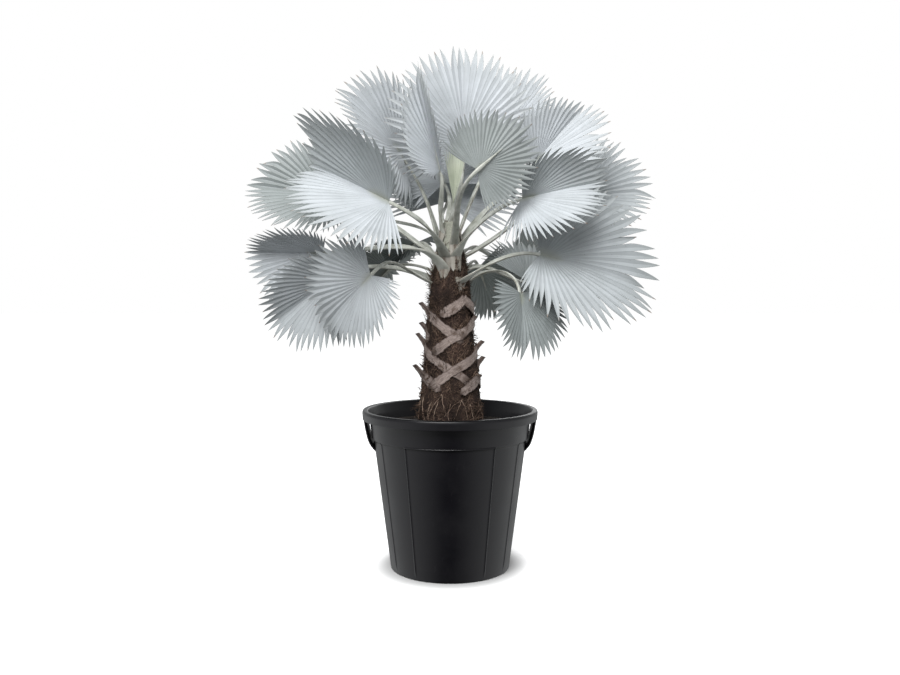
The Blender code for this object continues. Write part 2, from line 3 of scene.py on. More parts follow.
import bpy
import numpy as np
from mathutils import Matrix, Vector


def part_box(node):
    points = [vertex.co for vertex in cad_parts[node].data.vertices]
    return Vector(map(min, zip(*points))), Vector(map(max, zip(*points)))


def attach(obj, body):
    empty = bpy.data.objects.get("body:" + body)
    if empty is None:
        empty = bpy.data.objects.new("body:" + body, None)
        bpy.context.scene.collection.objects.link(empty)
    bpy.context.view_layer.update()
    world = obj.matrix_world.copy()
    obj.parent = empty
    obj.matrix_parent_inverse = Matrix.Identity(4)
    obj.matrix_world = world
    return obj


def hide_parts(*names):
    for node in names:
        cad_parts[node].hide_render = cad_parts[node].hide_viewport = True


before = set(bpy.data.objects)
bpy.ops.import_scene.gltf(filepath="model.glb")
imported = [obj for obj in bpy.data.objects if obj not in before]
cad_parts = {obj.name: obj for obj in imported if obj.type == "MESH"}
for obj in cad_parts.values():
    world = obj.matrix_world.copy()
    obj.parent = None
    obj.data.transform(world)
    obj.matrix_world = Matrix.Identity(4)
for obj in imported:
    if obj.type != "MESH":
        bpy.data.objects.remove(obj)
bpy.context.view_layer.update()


# Container: a round nursery pot moulded in black polypropylene, with a rolled rim, a stepped neck,
# fine draft ribs, drain holes in its floor and two strap handles moulded on below the rim.
RIM_RADIUS = float(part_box("pot")[1][1])
POT_HEIGHT = float(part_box("pot")[1][2])
BASE_RADIUS = 0.190
FOOT_RING = 0.154
FLOOR_RISE = 0.0035
FLOOR_THICKNESS = 0.0055
LEDGE_HEIGHT = 0.409
LEDGE_RADIUS = 0.2490
BODY_TOP_RADIUS = 0.2425
NECK_TOP_RADIUS = 0.2560
LIP_HEIGHT = 0.030
LIP_WIDTH = 0.018
WALL = 0.004
POT_COLUMNS = 200
RIB_ANGLES = (33, 60, 120, 147)
RIB_WIDTH = 0.006
RIB_PROUD = 0.00168
RIB_COLUMNS = (-1.1, -0.8, -0.5, 0, 0.5, 0.8, 1.1)
RIBS_START = (0.012, 0.030)
PANEL_STEP = 0.0042
PANEL_FOOT = 0.33
HANDLE_PATH = (
    (0.2695, 0.476), (0.2672, 0.458), (0.2635, 0.438), (0.2580, 0.414), (0.2505, 0.394), (0.2390, 0.379),
    (0.2280, 0.370),
)
HANDLE_HALF_WIDTH = 0.045
HANDLE_HALF_THICKNESS = 0.0048
HANDLE_STATIONS = 30
HANDLE_SIDES = 28
DRAIN_HOLES = 6
DRAIN_RADIUS = 0.007
DRAIN_CIRCLE = 0.135
DRILL_SIDES = 24
DRILL_ENDS = (-0.01, 0.02)
PLASTIC_BLACK = (0.0040, 0.0036, 0.0052)
PLASTIC_DUSTY = (0.0105, 0.0100, 0.0112)
PLASTIC_SCUFFED = (0.026, 0.026, 0.027)


def new_mesh(name, points, faces, uv=None, material_index=None, smooth=True, wax_and_shade=None):
    """A mesh from an (n, 3) array of points and an (m, 4) array of quads; a last index of -1 makes a
    triangle. The UV map and the wax attribute, which carries a leaf's bloom and painted shade, hold one
    value for each point."""
    sizes = np.where(faces[:, 3] < 0, 3, 4)
    flat = faces.reshape(-1)
    flat = flat[flat >= 0]
    mesh = bpy.data.meshes.new(name)
    mesh.vertices.add(len(points))
    mesh.vertices.foreach_set("co", np.asarray(points, np.float32).reshape(-1))
    mesh.loops.add(len(flat))
    mesh.loops.foreach_set("vertex_index", flat.astype(np.int32))
    mesh.polygons.add(len(faces))
    starts = np.concatenate([[0], np.cumsum(sizes)[:-1]])
    mesh.polygons.foreach_set("loop_start", starts.astype(np.int32))
    if material_index is not None:
        mesh.polygons.foreach_set("material_index", np.asarray(material_index, np.int32))
    mesh.polygons.foreach_set("use_smooth", np.full(len(faces), smooth))
    mesh.update(calc_edges=True)
    if wax_and_shade is not None:
        bloom = mesh.attributes.new("wax_and_shade", "FLOAT", "POINT")
        bloom.data.foreach_set("value", np.asarray(wax_and_shade, np.float32))
    if uv is not None:
        layer = mesh.uv_layers.new(name="UVMap")
        layer.data.foreach_set("uv", np.asarray(uv, np.float32)[flat].reshape(-1))
    return mesh


def piece(name, mesh, materials, replaced=()):
    """Links a mesh at the origin, gives it its materials and rides it on the only body."""
    made = bpy.data.objects.new(name, mesh)
    bpy.context.scene.collection.objects.link(made)
    for material in materials:
        mesh.materials.append(material)
    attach(made, "root")
    if replaced:
        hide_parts(*replaced)
    return made


def grid_faces(rows, columns, wrap=False, flip=False):
    """Quads between the points of a grid listed row by row; wrap closes each row on itself."""
    i, j = np.meshgrid(np.arange(rows - 1), np.arange(columns if wrap else columns - 1), indexing="ij")
    near, far = i.reshape(-1) * columns, (i.reshape(-1) + 1) * columns
    j = j.reshape(-1)
    k = (j + 1) % columns
    quads = np.stack([near + j, near + k, far + k, far + j], axis=1)
    return quads[:, ::-1] if flip else quads


def capped(rings, first_end, last_end):
    """Points and faces of a skin over closed rings, with a fan from each outer ring to its end point."""
    rows, columns = rings.shape[:2]
    j = np.arange(columns)
    k = (j + 1) % columns
    count, last = rows * columns, (rows - 1) * columns
    first_fan = np.stack([k, j, 0 * j + count, 0 * j - 1], axis=1)
    last_fan = np.stack([last + j, last + k, 0 * j + count + 1, 0 * j - 1], axis=1)
    points = np.concatenate([rings.reshape(-1, 3), [first_end, last_end]])
    return points, np.concatenate([grid_faces(rows, columns, wrap=True), first_fan, last_fan])


def joined(parts):
    """Points and faces of several meshes, the faces counted on from one to the next."""
    counts = np.cumsum([0] + [len(points) for points, _ in parts])
    faces = [np.where(f < 0, -1, f + count) for (_, f), count in zip(parts, counts)]
    return np.concatenate([points for points, _ in parts]), np.concatenate(faces)


def turned(radius, angle, height):
    """Points at a radius, an angle in radians and a height, each a number or an array."""
    return np.stack(np.broadcast_arrays(radius * np.cos(angle), radius * np.sin(angle), height), axis=-1)


def oval(sides, across, up):
    """Places on a unit oval: cosine to the power across and sine to the power up, with signs kept."""
    turn = 2 * np.pi * np.arange(sides) / sides
    x, y = np.cos(turn), np.sin(turn)
    return np.sign(x) * np.abs(x) ** across, np.sign(y) * np.abs(y) ** up


def unit(v):
    """Vectors along the last axis, each divided by its length."""
    v = np.asarray(v, float)
    return v / np.maximum(np.linalg.norm(v, axis=-1, keepdims=True), 1e-12)


def ramp(x, low, high):
    """0 below low, 1 above high and 3 t^2 - 2 t^3 between them."""
    t = np.clip((x - low) / (high - low), 0, 1)
    return t * t * (3 - 2 * t)


def rounded(corners, steps=6, spacing=0.010):
    """A profile through (radius, height, round) corners: each becomes a quadratic curve, and straight
    runs are divided every spacing."""
    corners = np.array(corners)
    place, size = corners[:, :2], corners[1:-1, 2:]
    toward, away = unit(place[:-2] - place[1:-1]) * size, unit(place[2:] - place[1:-1]) * size
    t = np.linspace(0, 1, steps)[:, None, None]
    curve = place[1:-1] + (1 - t)**2 * toward + t**2 * away
    points = np.concatenate([place[:1], curve.transpose(1, 0, 2).reshape(-1, 2), place[-1:]])
    travelled = np.concatenate([[0], np.cumsum(np.linalg.norm(np.diff(points, axis=0), axis=1))])
    at = np.union1d(travelled, np.arange(0, travelled[-1], spacing))
    return np.stack([np.interp(at, travelled, points[:, 0]), np.interp(at, travelled, points[:, 1])], axis=1)


def pot_shell():
    """The turned wall: radius of the profile, plus ribs and front and back panels on the outer body.

    A rib adds its height where the angle is within half its width; a panel adds PANEL_STEP between the
    first ribs, fading to a third of that at the foot.
    """
    lip_bottom = POT_HEIGHT - LIP_HEIGHT
    profile = rounded([
        (0.0, FLOOR_RISE, 0), (FOOT_RING - 0.004, FLOOR_RISE, 0.001), (FOOT_RING, 0.0, 0.001),
        (BASE_RADIUS - 0.002, 0.0, 0.006), (BODY_TOP_RADIUS, LEDGE_HEIGHT - 0.004, 0.003),
        (LEDGE_RADIUS, LEDGE_HEIGHT + 0.003, 0.0028), (NECK_TOP_RADIUS, lip_bottom, 0.002),
        (RIM_RADIUS - 0.002, lip_bottom, 0.003), (RIM_RADIUS, POT_HEIGHT - 0.004, 0.006),
        (RIM_RADIUS - 0.004, POT_HEIGHT, 0.003), (RIM_RADIUS - LIP_WIDTH, POT_HEIGHT, 0.004),
        (NECK_TOP_RADIUS - WALL, lip_bottom, 0.004), (BODY_TOP_RADIUS - WALL, LEDGE_HEIGHT, 0.003),
        (BASE_RADIUS - WALL, FLOOR_THICKNESS, 0.008), (0.0, FLOOR_THICKNESS, 0),
    ])[1:-1]
    near_rib = np.radians(np.array(RIB_COLUMNS))
    ribs = np.radians(np.array(RIB_ANGLES + tuple(-a for a in RIB_ANGLES)) - 90)
    rib_turns = (ribs[:, None] + near_rib).reshape(-1) % (2 * np.pi)
    even_turns = np.linspace(0, 2 * np.pi, POT_COLUMNS, endpoint=False)
    angle = np.unique(np.round(np.concatenate([rib_turns, even_turns]), 5))
    radius, height = profile[:, :1], profile[:, 1:]
    going_up = np.arange(len(profile))[:, None] <= np.argmax(height)
    body = going_up & (height < LEDGE_HEIGHT + 0.002)
    away = np.abs((angle[:, None] - ribs + np.pi) % (2 * np.pi) - np.pi).min(axis=1)
    rib = 1 - ramp(away * BODY_TOP_RADIUS, RIB_WIDTH * 0.30, RIB_WIDTH * 0.75)
    from_front = np.degrees(np.arccos(np.abs(np.sin(angle))))
    panel = 1 - ramp(from_front, RIB_ANGLES[0] - 0.5, RIB_ANGLES[0] + 0.4)
    fade = PANEL_FOOT + (1 - PANEL_FOOT) * height / LEDGE_HEIGHT
    proud = body * ramp(height, *RIBS_START) * (RIB_PROUD * rib + PANEL_STEP * panel * fade)
    rings = turned(radius + proud, angle, height)
    return capped(rings, (0, 0, profile[0, 1]), (0, 0, profile[-1, 1]))


def pot_strap(side):
    """A handle: a flattened oval, 90 mm wide and 9.6 mm thick, carried down a path from lip to wall.

    The path runs straight from point to point, and is then smoothed three times as (a + 2 b + c) / 4.
    """
    along = np.linspace(0, 1, HANDLE_STATIONS)
    corners = np.linspace(0, 1, len(HANDLE_PATH))
    path = np.stack([np.interp(along, corners, column) for column in zip(*HANDLE_PATH)], axis=1)
    for _ in range(3):
        path[1:-1] = (path[:-2] + 2 * path[1:-1] + path[2:]) / 4
    way = unit(np.gradient(path, axis=0))
    wide, thick = oval(HANDLE_SIDES, 0.35, 0.6)
    thick = HANDLE_HALF_THICKNESS * thick
    x = side * (path[:, :1] - way[:, 1:] * thick)
    z = path[:, 1:] + way[:, :1] * thick
    points = np.stack([x, HANDLE_HALF_WIDTH * wide + 0 * x, z], axis=-1).reshape(-1, 3)
    return points, grid_faces(HANDLE_STATIONS, HANDLE_SIDES, wrap=True, flip=side < 0)


def drilled(mesh):
    """The mesh with a ring of round holes cut straight up through its floor."""
    turn = 2 * np.pi * np.arange(DRILL_SIDES) / DRILL_SIDES
    drills = []
    for k in range(DRAIN_HOLES):
        centre = turned(DRAIN_CIRCLE, 2 * np.pi * (k + 0.5) / DRAIN_HOLES, np.array(DRILL_ENDS))
        rings = centre[:, None] + turned(DRAIN_RADIUS, turn, 0.0)
        drills.append(capped(rings, *centre))
    cutter = bpy.data.objects.new("drain_drills", new_mesh("drain_drills", *joined(drills), smooth=False))
    blank = bpy.data.objects.new("pot_blank", mesh)
    for made in (cutter, blank):
        bpy.context.scene.collection.objects.link(made)
    cut = blank.modifiers.new("holes", "BOOLEAN")
    cut.object, cut.operation, cut.solver = cutter, "DIFFERENCE", "EXACT"
    bpy.context.view_layer.update()
    holed = bpy.data.meshes.new_from_object(blank.evaluated_get(bpy.context.evaluated_depsgraph_get()))
    holed.name = "Pot_holed"
    bpy.data.objects.remove(blank)
    bpy.data.objects.remove(cutter)
    return holed


class Wiring:
    """Adds shader nodes to a tree: an input given as a socket is linked, any other is set."""

    def __init__(self, tree):
        self.tree = tree

    def put(self, socket, value):
        """Links or sets one input; a colour of three numbers gets its fourth."""
        if isinstance(value, bpy.types.NodeSocket):
            self.tree.links.new(value, socket)
        elif socket.type == "RGBA":
            socket.default_value = (*value, 1)
        else:
            socket.default_value = value

    def node(self, kind, inputs=(), **settings):
        """A new node with its settings and inputs."""
        made = self.tree.nodes.new("ShaderNode" + kind)
        for key, value in settings.items():
            setattr(made, key, value)
        for key, value in dict(inputs).items():
            self.put(made.inputs[key], value)
        return made

    def out(self, kind, inputs=(), output=0, **settings):
        """One output of a new node."""
        return self.node(kind, inputs, **settings).outputs[output]

    def maths(self, operation, *values):
        """The operation done on one or two values."""
        return self.out("Math", dict(enumerate(values)), operation=operation)

    def noise(self, at, scale, detail, roughness=0.5):
        """Grey noise at a place."""
        return self.out("TexNoise", {"Vector": at, "Scale": scale, "Detail": detail, "Roughness": roughness})

    def mix(self, share, first, second, blend="MIX"):
        """The first colour, with its share of the second mixed in."""
        return self.out("Mix", {0: share, 6: first, 7: second}, output=2, data_type="RGBA", blend_type=blend)

    def ranged(self, value, low, high, least, most, **settings):
        """The value carried from low and high to least and most."""
        ends = {"From Min": low, "From Max": high, "To Min": least, "To Max": most}
        return self.out("MapRange", {"Value": value, **ends}, **settings)

    def stops(self, value, *stops):
        """A colour ramp through (place, grey or colour) stops."""
        node = self.node("ValToRGB", {0: value})
        elements = node.color_ramp.elements
        while len(elements) < len(stops):
            elements.new(0.5)
        for element, (place, colour) in zip(elements, stops):
            element.position = place
            element.color = (*colour, 1) if isinstance(colour, tuple) else (colour, colour, colour, 1)
        return node.outputs[0]

    def bump(self, height, strength, distance):
        """A normal that follows a height."""
        return self.out("Bump", {"Height": height, "Strength": strength, "Distance": distance})

    def finish(self, **inputs):
        """Puts values on the Principled shader; an underscore in a name stands for a space."""
        shader = self.tree.nodes["Principled BSDF"]
        for key, value in inputs.items():
            self.put(shader.inputs[key.replace("_", " ")], value)


def new_material(name):
    """A new material, the wiring of its tree, and the place on the piece that its patterns follow."""
    made = bpy.data.materials.new(name)
    made.use_nodes = True
    nodes = Wiring(made.node_tree)
    return made, nodes, nodes.out("TexCoord", output="Object")


def pot_plastic():
    """Black satin plastic: a fine moulded grain, soft flow marks, pale dust and a few rubbed scuffs."""
    made, nodes, place = new_material("pot_plastic")
    dust = nodes.noise(place, scale=9.0, detail=7.0, roughness=0.62)
    grain = nodes.noise(place, scale=850.0, detail=2.0)
    upright = nodes.out("Mapping", {"Vector": place, "Scale": (30.0, 30.0, 3.0)})
    scuff = nodes.noise(upright, scale=4.0, detail=8.0, roughness=0.7)
    colour = nodes.mix(nodes.stops(dust, (0.45, 0.0), (0.75, 0.35)), PLASTIC_BLACK, PLASTIC_DUSTY)
    colour = nodes.mix(nodes.stops(scuff, (0.62, 0.0), (0.70, 0.35)), colour, PLASTIC_SCUFFED)
    nodes.finish(Base_Color=colour, Roughness=nodes.ranged(dust, 0.3, 0.7, 0.26, 0.40),
                 Specular_IOR_Level=0.30, Normal=nodes.bump(grain, strength=0.10, distance=0.0006))
    return made


pot_mesh = drilled(new_mesh("Pot", *joined([pot_shell(), pot_strap(1), pot_strap(-1)])))
piece("Pot", pot_mesh, [pot_plastic()], ["pot"])


# Potting soil: dark composted bark and peat that fills the container to 5 cm below the rim, crumbly on
# top with bark chips, a few pale flecks of pumice and roots; the trunk's foot stands in its hole.
SOIL_HEIGHT = 0.450
SOIL_MOUND = 0.006
SOIL_SETTLED = 0.004
SOIL_WALL_LINE = SOIL_HEIGHT - 0.005
SOIL_EDGE = float(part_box("soil")[1][0]) - 0.0008
SOIL_RINGS = 74
SOIL_SPOKES = 420
SOIL_FLOOR = (0.184, 0.020)
FOOT_RADIUS = 0.0972
FOOT_HOLE = FOOT_RADIUS - 0.004
HOLE_BOTTOM = 0.34
SOIL_WAVES = ((0.0022, 25, 8, 2, 5), (0.0016, 150, 14, 12, 40), (0.0011, 600, 22, 60, 160))
CRUMBS = 1500
CRUMB_SIZES = (0.0014, 0.0056)
CRUMB_STRETCH = ((1.0, 0.5, 0.3), (1.8, 1.0, 0.7))
LYING_FLAT = (0.825, 0.825, 0.30)
SOIL_HOLLOWS = (0.004, 0.003, 0.002)
SOIL_BROWN = (0.014, 0.010, 0.008)
SOIL_DRY = (0.042, 0.031, 0.024)
BARK_CHIP = (0.034, 0.021, 0.014)
PUMICE = (0.26, 0.22, 0.17)


def waves(a, b, count, low, high, draw):
    """A sum of count cosine waves in (a, b), wave numbers drawn from low to high, scaled to about +-1.
    Those along a are whole, so that the sum closes on itself."""
    size = draw.uniform(low, high, count)
    turn = draw.uniform(0, 2 * np.pi, count)
    first, second = np.round(size * np.cos(turn)), size * np.sin(turn)
    phase = draw.uniform(0, 2 * np.pi, count)
    total = sum(np.cos(first[k] * a + second[k] * b + phase[k]) for k in range(count))
    return total / np.sqrt(count / 2) / 2


def soil_body():
    """A disc of soil: rings from the foot's hole out to the wall, lifted by waves of three sizes, then
    down the wall, in along the floor and up the hole."""
    draw = np.random.default_rng(7)
    radius = np.linspace(FOOT_HOLE, SOIL_EDGE, SOIL_RINGS)[:, None]
    angle = np.linspace(0, 2 * np.pi, SOIL_SPOKES, endpoint=False)[None, :]
    height = SOIL_HEIGHT - SOIL_SETTLED + SOIL_MOUND * (1 - ramp(radius, FOOT_RADIUS, SOIL_EDGE))
    for size, stretch, count, low, high in SOIL_WAVES:
        height = height + size * waves(angle, radius * stretch, count, low, high, draw)
    at_wall = 1 - ramp(SOIL_EDGE - radius, -0.006, 0.004)
    height = height * (1 - at_wall) + SOIL_WALL_LINE * at_wall
    top = turned(radius, angle, height)
    under = np.array([
        (SOIL_EDGE - 0.001, SOIL_HEIGHT - 0.03), SOIL_FLOOR, (FOOT_RADIUS, SOIL_FLOOR[1]),
        (FOOT_HOLE, HOLE_BOTTOM),
    ])
    rings = np.concatenate([top, turned(under[:, :1], angle, under[:, 1:])])
    points = rings.reshape(-1, 3)
    return points, grid_faces(len(rings) + 1, SOIL_SPOKES, wrap=True) % len(points)


def lumps(centres, sizes, draw):
    """Small rough stones: an octahedron's six corners, each pushed in or out, stretched by the sizes and
    turned along drawn directions that are flattened, so that most stones lie down."""
    corner = np.array([(1, 0, 0), (0, 1, 0), (-1, 0, 0), (0, -1, 0), (0, 0, 1), (0, 0, -1)], float)
    n = len(centres)
    shape = corner[None] * draw.uniform(0.55, 1.15, (n, 6, 1)) + draw.normal(0, 0.12, (n, 6, 3))
    shape = shape * sizes[:, None, :]
    first, second = unit(draw.normal(size=(n, 3))), draw.normal(size=(n, 3))
    second = np.cross(unit(np.cross(first, second)), first)
    first, second = unit(first * LYING_FLAT), unit(second * LYING_FLAT)
    axes = np.stack([first, second, unit(np.cross(first, second))], axis=1)
    points = (centres[:, None] + shape @ axes).reshape(-1, 3)
    side = np.array([(0, 1, 4), (1, 2, 4), (2, 3, 4), (3, 0, 4), (1, 0, 5), (2, 1, 5), (3, 2, 5), (0, 3, 5)])
    faces = (np.arange(n)[:, None, None] * 6 + side).reshape(-1, 3)
    return points, np.concatenate([faces, np.full((len(faces), 1), -1)], axis=1)


def soil_crumbs():
    """Bark chips and crumbs strewn evenly over the soil by area, half sunk."""
    draw = np.random.default_rng(17)
    radius = np.sqrt(draw.uniform(FOOT_RADIUS**2, (SOIL_EDGE - 0.006)**2, CRUMBS))
    angle = draw.uniform(0, 2 * np.pi, CRUMBS)
    small, large = CRUMB_SIZES
    size = small + (large - small) * draw.uniform(0, 1, CRUMBS) ** 4
    near = 1 - ramp(radius, FOOT_RADIUS, SOIL_EDGE)
    centres = turned(radius, angle, SOIL_HEIGHT - 0.003 + SOIL_MOUND * near + 0.2 * size)
    return lumps(centres, size[:, None] * draw.uniform(*CRUMB_STRETCH, (CRUMBS, 3)), draw)


def soil_matter():
    """Very dark brown, darkest in the low places of its bump, with reddish bark chips and a few pale flecks.
    """
    made, nodes, place = new_material("soil_matter")
    clod = nodes.noise(place, scale=60.0, detail=9.0, roughness=0.7)
    chip = nodes.out("TexVoronoi", {"Vector": place, "Scale": 150.0}, output="Color")
    fleck = nodes.out("TexVoronoi", {"Vector": place, "Scale": 95.0}, output="Color")
    base = nodes.stops(clod, (0.32, SOIL_HOLLOWS), (0.55, SOIL_BROWN), (0.72, SOIL_DRY))
    base = nodes.mix(nodes.stops(chip, (0.55, 0.0), (0.85, 0.75)), base, BARK_CHIP)
    base = nodes.mix(nodes.stops(fleck, (0.93, 0.0), (0.95, 0.85)), base, PUMICE)
    nodes.finish(Base_Color=base, Roughness=0.93, Normal=nodes.bump(clod, strength=0.6, distance=0.004))
    return made


soil_mesh = new_mesh("Soil", *joined([soil_body(), soil_crumbs()]))
piece("Soil", soil_mesh, [soil_matter()], ["soil"])


# Trunk: a stout fibrous stem, widest at the soil, wrapped in a woven mat of dark brown leaf-sheath
# fibre. The mat is one skin; loose strands lie over it, stand off its sides and hang at the foot.
TRUNK_FOOT = 0.400
CROWN_BOTTOM = 0.900
CROWN_TOP = 1.100
TRUNK_HEIGHTS = (0.335, 0.458, 0.475, 0.530, 0.600, 0.700, 0.800, CROWN_BOTTOM, CROWN_TOP)
TRUNK_RADII = (0.0968, 0.0968, 0.100, 0.094, 0.084, 0.074, 0.066, 0.060, 0.020)
SHEATH_LINE = 1.012
SHEATH_WAVE = 0.010
MAT_ROWS = 280
MAT_COLUMNS = 250
MAT_PROUD = 0.0008
MAT_LUMPS = 0.0026
WEAVE_RIDGES = 34
WEAVE_PITCH = 430
WEAVE_DEPTH = 0.0008
MAT_GRAIN = 0.0007
STRANDS = 4200
STRAND_STATIONS = 7
STRAND_HEIGHTS = (0.452, 1.005)
STRAND_LENGTHS = (0.018, 0.060)
STRAND_RADII = (0.00025, 0.00095)
STRAND_HEADING = (48, 26)
STRAND_BEND = 0.9
STRAND_LIFTS = (0.0008, 0.0040)
LOOSE_END = 0.016
SPIKES = 1320
TUFTS = 220
SPIKE_STATIONS = 6
SPIKE_HEIGHTS = (0.458, 0.990)
SPIKE_LENGTHS = (0.005, 0.026)
SPIKE_RADII = (0.0008, 0.0030)
TUFT_HEIGHT = 0.006
TUFT_WIDTH = 0.07
TUFT_LEAN = (0.35, 0.6)
LOWEST_STRAND = 0.447
LOWEST_SPIKE = 0.449


def trunk_radius(height):
    """The core's radius: straight runs between the heights at which the real stem's width was read."""
    return np.interp(height, TRUNK_HEIGHTS, TRUNK_RADII)


def around(azimuth, height, lift):
    """Points that stand lift off the core at an azimuth, in radians, and a height."""
    return turned(trunk_radius(height) + lift, azimuth, height)


def trunk_mat():
    """The fibre mat: the core's radius plus crossed diagonal ridges and slow lumps, closed at its ends.

    A ridge is |cos(WEAVE_RIDGES azimuth +- WEAVE_PITCH height + a wandering phase)| times WEAVE_DEPTH.
    """
    draw = np.random.default_rng(23)
    azimuth = np.linspace(0, 2 * np.pi, MAT_COLUMNS, endpoint=False)[None, :]
    height = np.linspace(TRUNK_FOOT, CROWN_TOP - 0.004, MAT_ROWS)[:, None]
    lift = MAT_LUMPS * waves(azimuth, height * 16, 10, 2, 6, draw)
    for slope in (1, -1):
        wander = 3 * waves(azimuth, height * 20, 6, 2, 7, draw)
        weave = np.cos(WEAVE_RIDGES * azimuth + slope * WEAVE_PITCH * height + wander)
        lift = lift + WEAVE_DEPTH * np.abs(weave)
    lift = lift + MAT_GRAIN * waves(azimuth, height * 200, 20, 30, 90, draw)
    fade = 1 - 0.7 * ramp(height, CROWN_BOTTOM, CROWN_TOP)
    return capped(around(azimuth, height, MAT_PROUD + lift * fade), (0, 0, TRUNK_FOOT), (0, 0, CROWN_TOP))


def threads(centres, normals, thick):
    """Three-sided hairs: at each of (n, stations, 3) centres, three points at the radius thick about the
    thread's way."""
    way = unit(np.gradient(centres, axis=1))
    side = unit(np.cross(normals, way))
    up = np.cross(way, side)
    turn = 2 * np.pi * np.arange(3)[:, None] / 3
    ring = side[:, :, None] * np.cos(turn) + up[:, :, None] * np.sin(turn)
    points = centres[:, :, None] + ring * thick[:, :, None, None]
    n, stations = centres.shape[:2]
    faces = np.arange(n)[:, None, None] * stations * 3 + grid_faces(stations, 3, wrap=True)
    return points.reshape(-1, 3), faces.reshape(-1, 4)


def mat_strands():
    """Loose fibres on the mat: each sets out in a near-diagonal heading that bends as it goes, rises and
    falls as a sine of its length, and now and then comes free at its end."""
    draw = np.random.default_rng(31)
    each = (STRANDS, 1)
    t = np.linspace(0, 1, STRAND_STATIONS)[None]
    height = draw.uniform(*STRAND_HEIGHTS, each)
    azimuth = draw.uniform(0, 2 * np.pi, each)
    step = draw.uniform(*STRAND_LENGTHS, each) / STRAND_STATIONS
    heading = np.radians(draw.choice((-1, 1), each) * draw.normal(*STRAND_HEADING, each))
    heading = heading + draw.normal(0, STRAND_BEND, each) * (t - 0.5)
    z = height + step * (np.cumsum(np.sin(heading), axis=1) - np.sin(heading))
    a = azimuth + step * (np.cumsum(np.cos(heading), axis=1) - np.cos(heading)) / trunk_radius(height)
    lift = draw.uniform(*STRAND_LIFTS, each) + 0.0012 * np.sin(t * draw.uniform(4, 11, each) + azimuth)
    lift = lift + LOOSE_END * draw.uniform(0, 1, each) ** 7 * ramp(t, 0.3, 1.0)
    centres = around(a, np.maximum(z, LOWEST_STRAND), lift)
    thick = draw.uniform(*STRAND_RADII, each) * np.sin(np.pi * (0.06 + 0.88 * t)) ** 0.6
    return threads(centres, turned(1.0, a, 0.0), thick)


def mat_spikes():
    """Stiff broken fibre bundles in tufts that stand off the sides: straight, tapering, leaning up or
    down by the tuft's lean, and turned aside by their curl."""
    draw = np.random.default_rng(41)
    each = (SPIKES, 1)
    t = np.linspace(0, 1, SPIKE_STATIONS)[None]
    tuft = draw.integers(0, TUFTS, each)
    height = np.take(draw.uniform(*SPIKE_HEIGHTS, TUFTS), tuft) + draw.normal(0, TUFT_HEIGHT, each)
    azimuth = np.take(draw.uniform(0, 2 * np.pi, TUFTS), tuft) + draw.normal(0, TUFT_WIDTH, each)
    length = draw.uniform(*SPIKE_LENGTHS, each) * (1 + 0.5 * (height < 0.52))
    lean = np.take(draw.normal(*TUFT_LEAN, TUFTS), tuft) + draw.normal(0, 0.3, each)
    curl = length * draw.normal(0, 0.4, each)
    z = np.maximum(height + length * t * lean + 0.3 * curl * t**2, LOWEST_SPIKE)
    stand = length * t - 0.001 - trunk_radius(z) + trunk_radius(height)
    centres = around(azimuth + 3.5 * curl * t, z, 0.0) + turned(stand, azimuth, 0.0)
    normals = np.broadcast_to(np.array([0.0, 0.0, 1.0]), centres.shape)
    return threads(centres, normals, draw.uniform(*SPIKE_RADII, each) * (1 - 0.93 * t))


def trunk_fibre(name, dark, light, depth):
    """Sheath fibre: strands of dark to light brown, drawn out upwards, dull all over."""
    made, nodes, place = new_material(name)
    upright = nodes.out("Mapping", {"Vector": place, "Scale": (1.0, 1.0, 0.45)})
    broad = nodes.noise(upright, scale=22.0, detail=5.0, roughness=0.6)
    fine = nodes.noise(upright, scale=420.0, detail=3.0, roughness=0.6)
    both = nodes.maths("MULTIPLY", broad, fine)
    middle = tuple(0.68 * a + 0.32 * b for a, b in zip(dark, light))
    nodes.finish(Base_Color=nodes.stops(both, (0.16, dark), (0.27, middle), (0.38, light)), Roughness=0.9,
                 Specular_IOR_Level=0.25, Normal=nodes.bump(fine, strength=0.7, distance=depth))
    return made


mat_skin = trunk_fibre("mat_skin", (0.010, 0.006, 0.005), (0.070, 0.041, 0.030), depth=0.0035)
sheath_pale = trunk_fibre("sheath_pale", (0.210, 0.212, 0.175), (0.340, 0.350, 0.300), depth=0.0003)
strand_brown = trunk_fibre("strand_brown", (0.016, 0.009, 0.007), (0.270, 0.185, 0.135), depth=0.0004)
mat_points, mat_faces = trunk_mat()
corner_x, corner_y, corner_z = mat_points[mat_faces[:, 0]].T
pale_top = corner_z > SHEATH_LINE + SHEATH_WAVE * np.sin(5 * np.arctan2(corner_y, corner_x))
mat_mesh = new_mesh("Trunk_mat", mat_points, mat_faces, material_index=pale_top)
piece("Trunk_mat", mat_mesh, [mat_skin, sheath_pale], ["trunk"])
strand_mesh = new_mesh("Trunk_strands", *joined([mat_strands(), mat_spikes()]))
piece("Trunk_strands", strand_mesh, [strand_brown])


# Old leaf bases: each cut leaf leaves a horn that stands off the trunk and two straps, the halves of
# its split base, which run down and round it over the mat and cross those of its neighbours.
BOOT_WIDTH = 0.032
BOOT_SPAN = 134
BOOT_DROP = 0.118
BOOT_SIDES = 18
STRAP_STATIONS = 44
STRAP_PROUD = 0.0045
STRAP_THICKNESS = 0.0058
STRAP_THINS = 0.0022
STRAP_SINKS = 0.0024
STRAP_OVERLAP = 0.0003
UPPER_STRAPS = 0.0016
HORN_STATIONS = 16
HORN_ROOT = 0.026
HORN_BOW = 0.30
HORN_SWAY = 0.10
HORN_CHANNEL = 0.55
HORN_LEAN = 0.34
HORN_RISE = 0.94
HORN_WIDTHS = (BOOT_WIDTH * 1.15, 0.030, 0.023)
HORN_DEPTHS = (0.026, 0.020, 0.0165)
